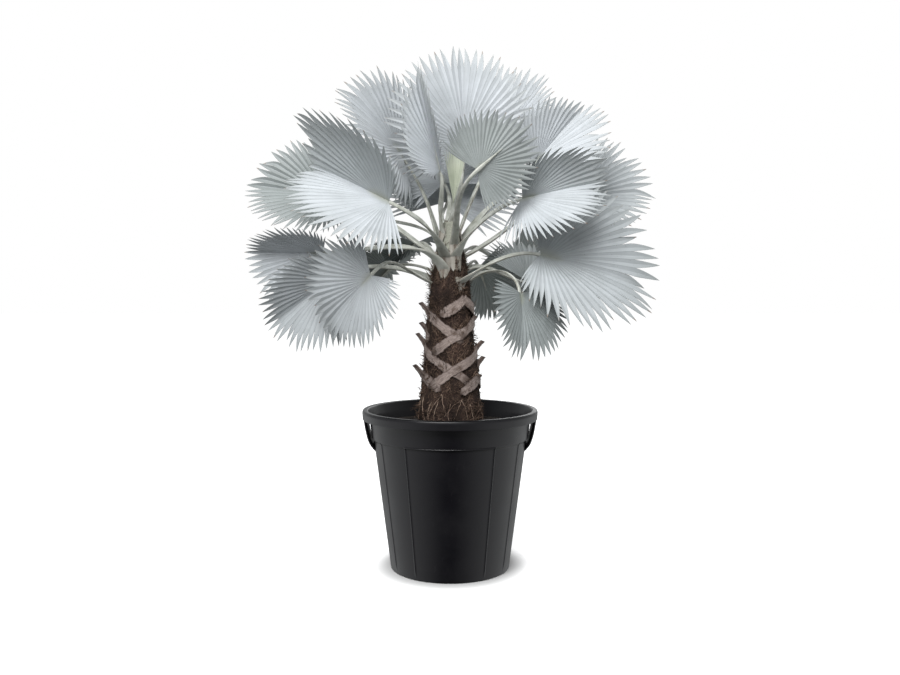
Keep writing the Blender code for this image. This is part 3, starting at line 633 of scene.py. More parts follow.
# Azimuth and height of each, length of its horn, and how far round its two straps run, the first one
# counter-clockwise from above. The straps of the first seven lie under those of the others.
LOWER_BASES = 7
LEAF_BASES = (
    (188, 0.814, 0.056, 0.86, 1.0), (180, 0.705, 0.066, 1.0, 1.0), (196, 0.612, 0.062, 0.42, 0.75),
    (172, 0.756, 0.050, 0.30, 0.8), (84, 0.836, 0.050, 0.8, 0.8), (96, 0.742, 0.050, 0.8, 0.8),
    (86, 0.650, 0.052, 0.6, 0.6), (-6, 0.790, 0.036, 0.90, 0.94), (0, 0.694, 0.054, 1.0, 1.0),
    (6, 0.640, 0.056, 0.35, 0.12), (-18, 0.604, 0.036, 0.45, 0.40), (-52, 0.850, 0.012, 0.68, 0.46),
)
BASE_GRAIN = (
    (0.30, (0.050, 0.035, 0.029)), (0.42, (0.165, 0.125, 0.108)), (0.54, (0.275, 0.222, 0.200)),
    (0.68, (0.450, 0.390, 0.360)),
)
BASE_STAIN = (0.075, 0.047, 0.034)
BASE_FRAY = (0.050, 0.031, 0.023)
BASE_CUT = (0.045, 0.028, 0.021)


def strap(azimuths, heights, widths, lifts, thick, draw):
    """Rings of a flat band along a path on the trunk: at each station an oval of width by thick, ridged
    along its outer face, with its edges curled out and frayed by noise."""
    centres = around(azimuths, heights, lifts)
    way = unit(np.gradient(centres, axis=0))
    side = unit(np.cross(turned(1.0, azimuths, 0.0), way))
    out = np.cross(way, side)
    wide, deep = oval(BOOT_SIDES, 0.7, 0.8)
    fray = 1 + 0.05 * draw.normal(size=(len(centres), 1)) * np.abs(wide) ** 4
    ridge = 1 + 0.22 * np.cos(5.5 * np.pi * wide) + 0.12 * draw.normal(size=(1, BOOT_SIDES))
    x = 0.5 * widths[:, None] * wide * fray
    y = thick[:, None] * (0.5 * deep * np.where(deep > 0, ridge, 1) + 0.35 * np.abs(wide) ** 3)
    return centres[:, None] + side[:, None] * x[..., None] + out[:, None] * y[..., None]


def boot_leg(azimuth, height, side, lift, share, draw):
    """A strap from the horn's root, down and round the stem as far as its share, narrowing to a torn
    end: it turns evenly, drops by 0.86 t + 0.14 t^2 of BOOT_DROP, and sways by two sines."""
    t = np.linspace(-0.02, 1.0, STRAP_STATIONS) * share
    sway = 0.0024 * np.sin(5 * t + 9 * azimuth + side) + 0.0012 * np.sin(13 * t + 5 * azimuth)
    a = azimuth + side * np.radians(BOOT_SPAN) * t
    z = height - BOOT_DROP * (0.86 * t + 0.14 * t * t) + sway
    ragged = 1 + 0.10 * np.sin(17 * t + 3 * azimuth) + 0.05 * draw.normal(size=len(t))
    width = BOOT_WIDTH * (1.06 - 0.24 * t) * ragged * (0.25 + 0.75 * ramp(share - t, 0, 0.05))
    proud = STRAP_PROUD + lift - STRAP_SINKS * t + 0.0014 * np.sin(7 * t + azimuth)
    return strap(a, z, width, proud, STRAP_THICKNESS - STRAP_THINS * t, draw)


def horn(azimuth, height, length, draw):
    """Rings of a cut stub: an oval, hollowed on its inner face, that rises steeply from between its
    straps, bows out as t^2 and is cut square."""
    t = np.linspace(0, 1, HORN_STATIONS)
    out, side = turned(1.0, azimuth, 0.0), turned(1.0, azimuth + np.pi / 2, 0.0)
    up = np.array([0.0, 0.0, 1.0])
    root = out * (trunk_radius(height) - 0.008) + up * (height - HORN_ROOT)
    lean = HORN_LEAN + 0.06 * draw.normal()
    way = unit(lean * out + HORN_RISE * up)
    bow = length * t[:, None]**2 * (HORN_BOW * out + HORN_SWAY * draw.normal() * side)
    centres = root + way * (length * t)[:, None] + bow
    face = unit(HORN_RISE * out - lean * up)
    across, deep = oval(BOOT_SIDES, 1, 1)
    channel = np.where(deep < 0, HORN_CHANNEL * (1 - np.abs(across)), 0)
    rough = 1 + 0.06 * draw.normal(size=(HORN_STATIONS, BOOT_SIDES))
    x = 0.5 * np.interp(t, [0, 0.5, 1], HORN_WIDTHS)[:, None] * across * rough
    y = 0.5 * np.interp(t, [0, 0.5, 1], HORN_DEPTHS)[:, None] * deep * (1 - channel) * rough
    return centres[:, None] + side * x[..., None] + face * y[..., None]


def leaf_bases():
    """All horns and straps, closed at their ends, and a UV map for the grain: x counts the shapes and
    runs round each, y runs along it from its root."""
    draw = np.random.default_rng(53)
    parts, uvs = [], []
    for order, (azimuth, height, length, onward, back) in enumerate(LEAF_BASES):
        turn = np.radians(azimuth)
        lift = STRAP_OVERLAP * order + UPPER_STRAPS * (order >= LOWER_BASES)
        shapes = [
            horn(turn, height, length, draw),
            boot_leg(turn, height, 1, lift, onward, draw),
            boot_leg(turn, height, -1, lift + 2 * STRAP_OVERLAP, back, draw),
        ]
        for rings in shapes:
            parts.append(capped(rings, rings[0].mean(axis=0), rings[-1].mean(axis=0)))
            rows, columns = rings.shape[:2]
            v, u = np.meshgrid(np.linspace(0, 1, rows), np.arange(columns) / columns, indexing="ij")
            uvs.append(np.stack([u + len(parts), v], axis=-1).reshape(-1, 2))
            uvs.append([(len(parts), 0), (len(parts), 1)])
    return (*joined(parts), np.concatenate(uvs))


def uv_place(nodes):
    """The two numbers of a piece's UV map."""
    return nodes.node("SeparateXYZ", {0: nodes.out("UVMap", uv_map="UVMap")}).outputs[:2]


def long_grain(nodes, u, v, across, along, **noise):
    """Noise drawn out along a UV map: its numbers are multiplied by across and along."""
    at = {0: nodes.maths("MULTIPLY", u, across), 1: nodes.maths("MULTIPLY", v, along)}
    return nodes.noise(nodes.out("CombineXYZ", at), **noise)


def edge_wave(nodes, u):
    """How near a point is to the sides of a swept section: |cos(2 pi u)|."""
    return nodes.maths("ABSOLUTE", nodes.maths("COSINE", nodes.maths("MULTIPLY", u, 2 * np.pi)))


def leaf_base_skin():
    """Weathered tan leaf base: long brown and pale grain, darker frayed edges and dark cut ends."""
    made, nodes, place = new_material("leaf_base_skin")
    u, v = uv_place(nodes)
    grain = long_grain(nodes, u, v, across=34.0, along=5.0, scale=1.6, detail=7.0, roughness=0.72)
    edge = edge_wave(nodes, nodes.maths("FRACT", u))
    blotch = nodes.noise(place, scale=38.0, detail=6.0, roughness=0.6)
    base = nodes.stops(grain, *BASE_GRAIN)
    base = nodes.mix(nodes.stops(blotch, (0.50, 0.0), (0.66, 0.8)), base, BASE_STAIN)
    base = nodes.mix(nodes.stops(edge, (0.72, 0.0), (0.97, 0.80)), base, BASE_FRAY)
    ends = nodes.stops(v, (0.0, 0.25), (0.10, 0.0), (0.86, 0.0), (0.98, 0.85))
    base = nodes.mix(ends, base, BASE_CUT)
    nodes.finish(Base_Color=base, Roughness=0.8, Normal=nodes.bump(grain, strength=0.55, distance=0.0012))
    return made


base_mesh = new_mesh("Leaf_bases", *leaf_bases())
piece("Leaf_bases", base_mesh, [leaf_base_skin()])


# Roots: thin pale aerial roots, 1.6 to 2.6 mm thick, that grow out of the stem just above the soil and
# drop into it. Those in front have places of their own, and the others are strewn round the stem.
ROOT_LINES = (
    (-106, 0.556, -120, 0.522, -136, 0.480), (-106, 0.556, -101, 0.518, -96, 0.490),
    (-66, 0.541, -84, 0.524, -100, 0.488), (-68, 0.538, -61, 0.510, -58, 0.476),
    (-68, 0.538, -76, 0.512, -82, 0.482), (-112, 0.535, -117, 0.500, -119, 0.462),
    (-50, 0.525, -47, 0.492, -44, 0.455), (-89, 0.528, -94, 0.498, -91, 0.460),
    (-127, 0.530, -131, 0.50, -128, 0.46),
)
OTHER_ROOTS = 20
ROOT_AZIMUTHS = (-30, 210)
ROOT_HEIGHTS = (0.48, 0.55)
ROOT_STATIONS = 14
ROOT_RADII = (0.0008, 0.0013)


def roots():
    """Hairs along straight runs through three (azimuth, height) points each, lifted as a half sine."""
    draw = np.random.default_rng(61)
    shown = np.array(ROOT_LINES).reshape(-1, 3, 2)
    start_azimuth, start_height = [draw.uniform(*ends, OTHER_ROOTS) for ends in (ROOT_AZIMUTHS, ROOT_HEIGHTS)]
    start = np.stack([start_azimuth, start_height], axis=-1)
    foot_azimuth = start_azimuth + draw.uniform(-22, 22, OTHER_ROOTS)
    foot = np.stack([foot_azimuth, np.full(OTHER_ROOTS, LOWEST_STRAND)], axis=-1)
    middle = (start + foot) / 2 + draw.normal(0, (3, 0.005), (OTHER_ROOTS, 2))
    lines = np.concatenate([shown, np.stack([start, middle, foot], axis=1)])
    t = np.linspace(0, 2, ROOT_STATIONS)
    azimuth, height = [np.array([np.interp(t, [0, 1, 2], line) for line in lines[..., k]]) for k in (0, 1)]
    a = np.radians(azimuth + draw.normal(0, 0.5, azimuth.shape))
    lift = 0.0035 + 0.004 * np.sin(np.pi * t / 2) * draw.uniform(0.4, 1.2, (len(lines), 1))
    thick = draw.uniform(*ROOT_RADII, (len(lines), 1)) * np.linspace(1, 0.6, ROOT_STATIONS)
    return threads(around(a, height, lift), turned(1.0, a, 0.0), thick)


root_pale = trunk_fibre("root_pale", (0.24, 0.16, 0.12), (0.62, 0.50, 0.40), depth=0.0004)
piece("Roots", new_mesh("Roots", *roots()), [root_pale])


# Fronds: each is one grown leaf of a pale waxy stalk and a stiff fan of folded segments, silver-green
# with a bloom on both faces, its broad sheath clasping the crown. Leaves and half-blades that lie in
# shadow carry painted shade in their colour. One piece for each.
TURNS = {
    1: (0.905, 0.058), 2: (0.945, 0.050), 3: (0.985, 0.042), 4: (1.025, 0.034), 5: (1.060, 0.027),
    6: (1.088, 0.006),
}
LEAF_THICKNESS = 0.0008
PLEAT = 0.15
COSTA = 0.12
SPLIT = 0.765
SPLIT_DEEPER = 0.17
SPLIT_VARIES = 0.018
OUTER_SPLIT = 0.45
SEGMENT_LENGTHS = (0.972, 1.018)
BROKEN_SHARE = 0.05
BROKEN_LENGTHS = (0.84, 0.93)
SEGMENT_SWAY = 0.020
TIP_HANG = (-0.3, 1.5)
STRIP_PLACES = (-1.0, -0.5, 0.0, 0.0, 0.5, 1.0)
STRIP_STATIONS = np.concatenate([np.linspace(0, 0.66, 9), np.linspace(0.71, 1.0, 9)])
BLADE_WAVE = 0.010
STALK_SIDES = 16
STALK_STATIONS = 30
STALK_ROOT = 0.03
STALK_LEAVES = 0.38
STALK_ARRIVES = 0.34
STALK_PLACES = (0, 0.14, 0.40, 0.9, 1)
STALK_WIDTHS = (0.0185, 0.0112, 0.0120)
STALK_DEPTHS = (0.013, 0.013, 0.0115, 0.0090, 0.0085)
STALK_CHANNEL = ((0, 0.45), (0.2, 0.40), (0.7, 0.18), (1, 0.05))
RIB_STATIONS = 10
RIB_REACH = (0.012, 0.46)
RIB_WIDTHS = (0.0135, 0.0010)
RIB_DEPTHS = (0.0085, 0.0010)
SHEATH_ROWS = 16
SHEATH_COLUMNS = 17
OLD_SHEATH = (0.026, 9)
YOUNG_SHEATH = (0.042, 17)
SHEATH_THICKNESS = 0.0020
SEGMENT_TONES = (0.86, 1.0)
PAINTED_RIDGE_SHADOW = (0.10, 0.115, 0.105)
HUB_GREEN = (0.215, 0.225, 0.165)
TIP_GREY = (0.245, 0.262, 0.262)
NICK_BROWN = (0.08, 0.075, 0.06)
TIP_BROWN = (0.155, 0.100, 0.065)
DULL_AND_SHADED = (0.47, 0.495, 0.465)
STALK_TONES = (
    (0.32, (0.235, 0.245, 0.210)), (0.52, (0.365, 0.376, 0.338)), (0.70, (0.490, 0.502, 0.468)),
)
STALK_SCRATCH = (0.100, 0.080, 0.055)
STALK_FOOT = (0.165, 0.130, 0.105)
STALK_MARGIN = (0.085, 0.060, 0.042)


def side_value(angle, pair):
    """The first of the pair on the blade's one half, the second on the other."""
    return np.where(angle < 0, pair[0], pair[1])


def blade_axes(heading, rise, roll):
    """Rows: unit vectors along the midrib, across the blade and up from its upper face."""
    a, e, r = np.radians([heading, rise, roll])
    along = turned(np.cos(e), a, np.sin(e))
    level = turned(1.0, a + np.pi / 2, 0.0)
    normal = np.cross(along, level) * np.cos(r) + level * np.sin(r)
    return np.stack([along, np.cross(normal, along), normal])


def reach(angle, f):
    """Length of a segment: full at the lean angle, and shorter towards the stalk by the share shorten
    times (angle / spread) to the power ease."""
    lean = np.radians(f["lean"])
    turn = angle - lean
    end = np.radians(side_value(turn, f["spread"])) - np.sign(turn) * lean
    share = np.clip(np.abs(turn) / end, 0, 1)
    return f["length"] * (1 - side_value(turn, f["shorten"]) * share ** side_value(turn, f["ease"]))


def lift_plane(ahead, across, lift, drop, f):
    """Plane point to the blade: each half rises at its fold angle plus curl times the way out, as an arc
    does, and the midrib bends down along an arc of its own."""
    fold = np.radians(side_value(across, f["fold"]))
    curl = np.radians(side_value(across, f["curl"])) / f["length"] + 1e-5
    out = np.abs(across)
    slope = fold + curl * out
    rise = (np.cos(fold) - np.cos(slope)) / curl + lift * np.cos(slope) - drop
    spread = (np.sin(slope) - np.sin(fold)) / curl - lift * np.sin(slope) * np.minimum(1, out / 0.02)
    curve = max(np.radians(f["bend"]) / f["length"], 1e-6)
    arc = curve * np.maximum(ahead, 0)
    along = np.where(ahead > 0, np.sin(arc) / curve + rise * np.sin(arc), ahead)
    up = np.where(ahead > 0, -(1 - np.cos(arc)) / curve + rise * np.cos(arc), rise)
    return np.stack([along, np.sign(across) * spread, up], axis=-1)


def fan(f, draw):
    """The blade: for every segment two half strips on both faces, joined to the next as far as its split.

    Across a strip the lift runs from ridge (edge) to valley (middle). Past the split the width falls as
    1 - x, so the free end is a point. All segments start on the midrib, COSTA cos^2 of a length ahead.
    """
    n = f["segments"]
    edges = np.radians(np.linspace(-f["spread"][0], f["spread"][1], n + 1))
    middle, half = ((edges[1:] + edges[:-1]) / 2)[:, None, None], (edges[1] - edges[0]) / 2
    split = SPLIT - SPLIT_DEEPER * np.abs(edges / edges.max())**2.5 + draw.normal(0, SPLIT_VARIES, n + 1)
    split[[0, -1]] = OUTER_SPLIT
    s = STRIP_STATIONS[None, :, None]
    c = np.array(STRIP_PLACES)[None, None, :]
    own = np.where(c < 0, split[:-1, None, None], split[1:, None, None])
    free = np.clip((s - own) / (1 - own), 0, 1)
    narrow = (1 - free) ** 0.92
    short = draw.uniform(*SEGMENT_LENGTHS, n)
    short = short * np.where(draw.uniform(size=n) < BROKEN_SHARE, draw.uniform(*BROKEN_LENGTHS, n), 1)
    sway = draw.normal(0, SEGMENT_SWAY, n)[:, None, None]
    angle = middle + c * half * narrow + sway * free**1.3
    full = reach(middle + c * half, f)
    r = s * (full + (reach(middle, f) * short[:, None, None] - full) * ramp(s, 0.35, 0.9))
    pleat = PLEAT * (np.abs(c) * 2 - 1) * half * r * narrow * np.clip((1 - s) / 0.2, 0.25, 1)
    begin = COSTA * f["length"] * np.maximum(np.cos(angle), 0)**2 * (1 - s)
    ahead, across = r * np.cos(angle) + begin, r * np.sin(angle)
    across = np.where(np.abs(across) < 1e-6, np.where(c + middle < 0, -1e-6, 1e-6), across)
    wave = s**2 * np.sin(2.6 * angle + draw.uniform(0, 6)) * np.minimum(1, np.abs(across) / 0.05)
    hang = draw.uniform(*TIP_HANG, n)[:, None, None]
    drop = f["length"] * (f["droop"] * (s**3 + 0.55 * hang * free**1.6) - BLADE_WAVE * wave)
    lifts = [pleat + face * LEAF_THICKNESS / 2 for face in (1, -1)]
    faces = [lift_plane(ahead, across, lift, drop, f) for lift in lifts]
    uv = np.stack(np.broadcast_arrays(np.arange(n)[:, None, None] + 0.5 + 0.5 * c, s), axis=-1)
    first, last = (slice(None), slice(None), 0), (slice(None), slice(None), -1)
    shapes = faces + [face[edge] for edge in (first, last) for face in faces]
    maps = [uv, uv, uv[first], uv[first], uv[last], uv[last]]
    rows, columns = len(STRIP_STATIONS), len(STRIP_PLACES)
    strip = grid_faces(rows, columns)[np.tile(np.arange(columns - 1) != 2, rows - 1)]
    upper = (np.arange(n)[:, None, None] * rows * columns + strip).reshape(-1, 4)
    count, rim = n * rows * columns, n * rows
    i = 2 * count + (np.arange(n)[:, None] * rows + np.arange(rows - 1)).reshape(-1)
    rim_quads = np.stack([i, i + rim, i + rim + 1, i + 1], axis=1)
    quads = np.concatenate([upper[:, ::-1], upper + count, rim_quads, rim_quads[:, ::-1] + 2 * rim])
    points = np.concatenate([shape.reshape(-1, 3) for shape in shapes])
    return points, quads, np.concatenate([part.reshape(-1, 2) for part in maps]), len(upper)


def tube(centres, faces, widths, depths, channel):
    """Swept section: an oval of width by depth about each centre, its upper side, which faces give,
    hollowed by channel."""
    way = unit(np.gradient(centres, axis=0))
    up = unit(faces - way * np.sum(faces * way, axis=1, keepdims=True))
    across = np.cross(up, way)
    x, y = oval(STALK_SIDES, 0.8, 1)
    y = np.where(y > 0, y * (1 - channel[:, None] * (1 - np.abs(x)) ** 0.7 * 2), y)
    x, y = 0.5 * x * widths[:, None], 0.5 * y * depths[:, None]
    return centres[:, None] + across[:, None] * x[..., None] + up[:, None] * y[..., None]


def stalk(f, axes):
    """The leaf stalk: one cubic curve from the crown to the hub, then a rib that thins out under the
    midrib."""
    height, radius = TURNS[f["turn"]]
    a, e = np.radians([f["azimuth"], f["leave"]])
    out, up = turned(1.0, a, 0.0), np.array([0.0, 0.0, 1.0])
    root = out * radius + up * height
    start, back = out * np.cos(e) + up * np.sin(e), up * np.cos(e) - out * np.sin(e)
    hub = np.array(f["hub"])
    span = np.linalg.norm(hub - root)
    p = [root - start * STALK_ROOT, root + start * span * STALK_LEAVES,
         hub - axes[0] * span * STALK_ARRIVES, hub - axes[2] * 0.0046]
    t = np.linspace(0, 1, STALK_STATIONS)[:, None]
    centres = (1 - t)**3 * p[0] + 3 * (1 - t)**2 * t * p[1] + 3 * (1 - t) * t**2 * p[2] + t**3 * p[3]
    face = unit((1 - t)**1.5 * back + (1 - (1 - t)**1.5) * axes[2])
    widths = (f["base_width"] * 1.15, f["base_width"] * 0.92, *STALK_WIDTHS)
    width, depth = [np.interp(t[:, 0], STALK_PLACES, sizes) for sizes in (widths, STALK_DEPTHS)]
    channel = np.interp(t[:, 0], *zip(*STALK_CHANNEL))
    ahead = np.linspace(*RIB_REACH, RIB_STATIONS) * f["length"]
    taper = np.linspace(1, 0, RIB_STATIONS)
    sag = f["droop"] * f["length"] * (ahead / f["length"])**3
    under = lift_plane(ahead, 1e-5 + 0 * ahead, -0.0014 - 0.0034 * taper, sag, f)
    centres = np.concatenate([centres, hub + under @ axes])
    face = np.concatenate([face, np.repeat(axes[2][None], RIB_STATIONS, axis=0)])
    width = np.concatenate([width, np.linspace(*RIB_WIDTHS, RIB_STATIONS)])
    depth = np.concatenate([depth, np.linspace(*RIB_DEPTHS, RIB_STATIONS)])
    channel = np.concatenate([channel, 0 * taper])
    points = tube(centres, face, width, depth, channel)
    travelled = np.concatenate([[0], np.cumsum(np.linalg.norm(np.diff(centres, axis=0), axis=1))])
    uv = np.stack(np.broadcast_arrays(np.arange(STALK_SIDES) / STALK_SIDES, travelled[:, None]), axis=-1)
    return points.reshape(-1, 3), grid_faces(len(points), STALK_SIDES, wrap=True), uv.reshape(-1, 2)


def sheath(f):
    """The clasping base: a plate on the crown, from 26 or 42 mm below the stalk's root up to it. Its half
    angle falls from wide at the foot to the stalk's width, and it stands up to 11 mm off the core."""
    height, _ = TURNS[f["turn"]]
    low, wide = OLD_SHEATH if f["turn"] < 3 else YOUNG_SHEATH
    v = np.linspace(0, 1, SHEATH_ROWS)[:, None]
    u = np.linspace(-1, 1, SHEATH_COLUMNS)[None, :]
    z = height - low * (1 - v) + 0.016 * v + 0.004 * np.cos(9 * u + f["azimuth"]) * (1 - v)
    narrow = np.degrees(f["base_width"] * 0.52 / np.maximum(trunk_radius(height), 0.025))
    angle = np.radians(f["azimuth"]) + np.radians(narrow + (wide - narrow) * (1 - v) ** 1.4) * u
    proud = 0.0015 + 0.0060 * v**1.5 + 0.0014 * (f["turn"] - 1) * (1 - v)
    front = around(angle, z, proud + 0.0022 * (1 - u * u))
    rear = around(angle, z, proud - SHEATH_THICKNESS)
    points = np.concatenate([front.reshape(-1, 3), rear.reshape(-1, 3)])
    quads = grid_faces(SHEATH_ROWS, SHEATH_COLUMNS)
    quads = np.concatenate([quads, quads[:, ::-1] + SHEATH_ROWS * SHEATH_COLUMNS])
    uv = np.stack(np.broadcast_arrays(0.5 + 0.2 * u, -0.1 + 0.09 * v), axis=-1).reshape(-1, 2)
    return points, quads, np.concatenate([uv, uv])


def leaf_skin(name, bright, deep):
    """Waxy blade: silver bloom, dulled and darkened where the wax value is low, a tone for each segment, fine
    long veins, a dark line down every fold's valley and along every ridge, small dark nicks, and brown dry
    points on some tips. The low wax value is partly the rubbed bloom of older leaves and partly painted
    shade. The valley lines are painted shade and the ridge lines are painted shadow. UV: x counts
    segments, y runs from hub to tip."""
    made, nodes, place = new_material(name)
    u, v = uv_place(nodes)
    tone = nodes.out("TexWhiteNoise", {"W": nodes.maths("FLOOR", u)}, noise_dimensions="1D")
    fold = nodes.maths("ABSOLUTE", nodes.maths("SUBTRACT", nodes.maths("FRACT", u), 0.5))
    veins = long_grain(nodes, u, v, across=9.0, along=2.2, scale=1.0, detail=5.0, roughness=0.7)
    cloud = nodes.noise(place, scale=14.0, detail=5.0, roughness=0.6)
    nick = nodes.noise(place, scale=260.0, detail=2.0)
    waxy = nodes.maths("ADD", nodes.maths("MULTIPLY", veins, 0.45), nodes.maths("MULTIPLY", cloud, 0.55))
    base = nodes.stops(waxy, (0.34, deep), (0.62, bright))
    # Painted shade: where the wax value is low, the blade is multiplied down to a dull, darker tone. Besides
    # the rubbed bloom of older leaves, this darkens leaves and half-blades that lie in shadow.
    worn_and_shaded = nodes.mix(1.0, base, DULL_AND_SHADED, "MULTIPLY")
    base = nodes.mix(nodes.out("Attribute", output="Fac", attribute_name="wax_and_shade"), worn_and_shaded, base)
    shade = nodes.stops(tone, (0.0, SEGMENT_TONES[0]), (1.0, SEGMENT_TONES[1]))
    base = nodes.mix(1.0, base, shade, "MULTIPLY")
    # Painted shade: a dark line down the valley of every fold.
    base = nodes.mix(nodes.stops(fold, (0.0, 0.75), (0.07, 0.0)), base, deep)
    # Painted shadow: a dark line along every ridge, where neighbouring segments meet.
    base = nodes.mix(nodes.stops(fold, (0.44, 0.0), (0.495, 0.55)), base, PAINTED_RIDGE_SHADOW)
    base = nodes.mix(nodes.stops(v, (0.0, 0.55), (0.10, 0.0)), base, HUB_GREEN)
    base = nodes.mix(nodes.stops(v, (0.55, 0.0), (0.80, 0.28), (0.97, 0.80)), base, TIP_GREY)
    base = nodes.mix(nodes.stops(nick, (0.715, 0.0), (0.74, 0.8)), base, NICK_BROWN)
    dry_tip = nodes.stops(v, (0.945, 0.0), (0.99, 1.0))
    dry = nodes.maths("MULTIPLY", dry_tip, nodes.stops(tone, (0.45, 0.10), (0.80, 1.0)))
    base = nodes.mix(dry, base, TIP_BROWN)
    nodes.finish(Base_Color=base, Roughness=nodes.ranged(cloud, 0.0, 1.0, 0.44, 0.60),
                 Specular_IOR_Level=0.35, Normal=nodes.bump(veins, strength=0.35, distance=0.0006))
    return made


def stalk_wax():
    """Pale grey-green stalk: white bloom rubbed into long streaks, thin brown scratches and margins,
    browner at its base."""
    made, nodes, place = new_material("stalk_wax")
    u, v = uv_place(nodes)
    streak = long_grain(nodes, u, v, across=26.0, along=14.0, scale=1.0, detail=6.0, roughness=0.65)
    cloud = nodes.noise(place, scale=32.0, detail=5.0, roughness=0.6)
    base = nodes.stops(cloud, *STALK_TONES)
    base = nodes.mix(nodes.stops(streak, (0.60, 0.0), (0.68, 0.55)), base, STALK_SCRATCH)
    base = nodes.mix(nodes.stops(v, (0.0, 0.60), (0.035, 0.18), (0.09, 0.0)), base, STALK_FOOT)
    margin = nodes.stops(edge_wave(nodes, u), (0.955, 0.0), (0.995, 0.70))
    base = nodes.mix(margin, base, STALK_MARGIN)
    nodes.finish(Base_Color=base, Roughness=0.52, Normal=nodes.bump(streak, strength=0.3, distance=0.0006))
    return made


leaf_upper = leaf_skin("leaf_upper", (0.445, 0.470, 0.498), (0.345, 0.368, 0.385))
leaf_lower = leaf_skin("leaf_lower", (0.355, 0.382, 0.388), (0.262, 0.286, 0.284))
young_skin = leaf_skin("young_leaf", (0.580, 0.610, 0.500), (0.405, 0.445, 0.335))
stalk_skin = stalk_wax()


def frond(name, turn, azimuth, leave, hub, aim, length, wax_and_shade=1.0, skins=(leaf_upper, leaf_lower),
          material_slot="palm_leaf", droop=0.05, base_width=0.040, curl=(0, 0), lean=0, **shape):
    """One frond: a stalk that leaves the crown at the turn of its spiral, the azimuth and the angle
    leave, and a blade at the hub with its aim, a heading, rise and roll. Angles are in degrees. A pair
    gives the blade's two halves. The wax value is 0 where the blade is dull and darker and 1 where it is
    silver. It is partly the rubbed bloom of older leaves and partly painted shade on leaves and halves in
    shadow."""
    f = dict(turn=turn, azimuth=azimuth, leave=leave, hub=hub, length=length, droop=droop,
             base_width=base_width, curl=curl, lean=lean, **shape)
    axes = blade_axes(*aim)
    draw = np.random.default_rng(int(abs(hub[0] * 7919 + hub[1] * 104729 + hub[2] * 611953)))
    blade, quads, blade_uv, upper = fan(f, draw)
    stalk_points, stalk_quads, stalk_uv = stalk(f, axes)
    sheath_points, sheath_quads, sheath_uv = sheath(f)
    points, faces = joined([
        (np.array(hub) + blade @ axes, quads), (stalk_points, stalk_quads), (sheath_points, sheath_quads),
    ])
    uv = np.concatenate([blade_uv, stalk_uv, sheath_uv])
    index = np.full(len(faces), 2)
    index[:upper] = 0
    index[upper:len(quads)] = 1
    # The wax value of each half is partly the leaf's bloom and partly painted shade on a half in shadow.
    first_half = uv[:, 0] < f["segments"] * f["spread"][0] / sum(f["spread"])
    bloom = np.where(first_half, *np.broadcast_to(wax_and_shade, 2))
    mesh = new_mesh(name, points, faces, uv, index, wax_and_shade=bloom)
    piece(name, mesh, [*skins, stalk_skin], [name.lower()])


# Each frond's wax value, or the pair for its two halves, mixes the real dull bloom of older leaves with
# painted shade on leaves and halves that lie in shadow.
frond("Frond_left_low", 1, 125, 20, (-0.36, -0.05, 0.92), (185, -35, 75), 0.28,
      spread=(95, 125), shorten=(0.60, 0.35), ease=(1.1, 1.3), fold=(48, 20), bend=10, segments=42, wax_and_shade=0.7)
frond("Frond_front_left_low", 1, 180, 20, (-0.23, -0.28, 0.923), (160, -45, 90), 0.25,
      spread=(125, 125), shorten=(0.50, 0.60), ease=(1.3, 1.3), fold=(10, 20), bend=20, segments=42, wax_and_shade=0.75)
frond("Frond_right_low", 1, 306, 25, (0.28, -0.11, 0.99), (-5, -15, -55), 0.38,
      spread=(110, 120), shorten=(0.65, 0.35), ease=(1.9, 1.7), fold=(15, 15), bend=10, segments=42, wax_and_shade=0.6)
frond("Frond_right_hanging", 1, 45, 30, (0.21, -0.21, 0.87), (-85, -60, 35), 0.21,
      spread=(90, 115), shorten=(0.40, 0.35), ease=(1.7, 1.8), fold=(15, 15), bend=15, segments=36, wax_and_shade=0.05)
frond("Frond_back_right_hanging", 1, 65, 20, (0.10, 0.25, 0.96), (55, -55, 25), 0.20,
      spread=(120, 120), shorten=(0.40, 0.40), ease=(1.3, 1.3), fold=(10, 15), bend=40, segments=40, wax_and_shade=0.1)
frond("Frond_back_left_hanging", 1, 95, 20, (-0.21, 0.20, 0.95), (145, -35, -5), 0.27,
      spread=(125, 125), shorten=(0.38, 0.38), ease=(1.3, 1.3), fold=(25, 15), bend=20, segments=44, wax_and_shade=0.1)
frond("Frond_left", 2, 250, 55, (-0.41, 0.035, 1.0), (175, 0, 100), 0.28,
      spread=(105, 120), shorten=(0.65, 0.40), ease=(1.0, 1.0), fold=(52, 20), bend=10, segments=42, wax_and_shade=1.0)
frond("Frond_right_back", 2, 30, 55, (0.25, 0.06, 0.91), (35, 5, -25), 0.28,
      spread=(125, 125), shorten=(0.38, 0.38), ease=(1.3, 1.3), fold=(10, 20), bend=5, segments=44, wax_and_shade=0.1)
frond("Frond_back_left_small", 2, 130, 55, (-0.12, 0.21, 1.04), (125, -15, 5), 0.22,
      spread=(120, 120), shorten=(0.40, 0.40), ease=(1.3, 1.3), fold=(15, 10), bend=20, segments=40, wax_and_shade=0.3)
frond("Frond_front_left_upper", 3, 250, 50, (-0.18, -0.24, 1.14), (172, 28, 82), 0.41, wax_and_shade=(0.4, 0.85),
      spread=(95, 130), shorten=(0.85, 0.45), ease=(1.5, 0.6), fold=(36, 45), curl=(66, 0), lean=-15,
      bend=45, segments=46)
frond("Frond_front_right", 3, 292, 45, (0.22, -0.11, 1.16), (-20, 12, -88), 0.29, wax_and_shade=(0.85, 0.4),
      spread=(115, 75), shorten=(0.38, 0.65), ease=(1.2, 1.3), fold=(42, 15), curl=(0, 90), lean=15,
      bend=28, segments=42)
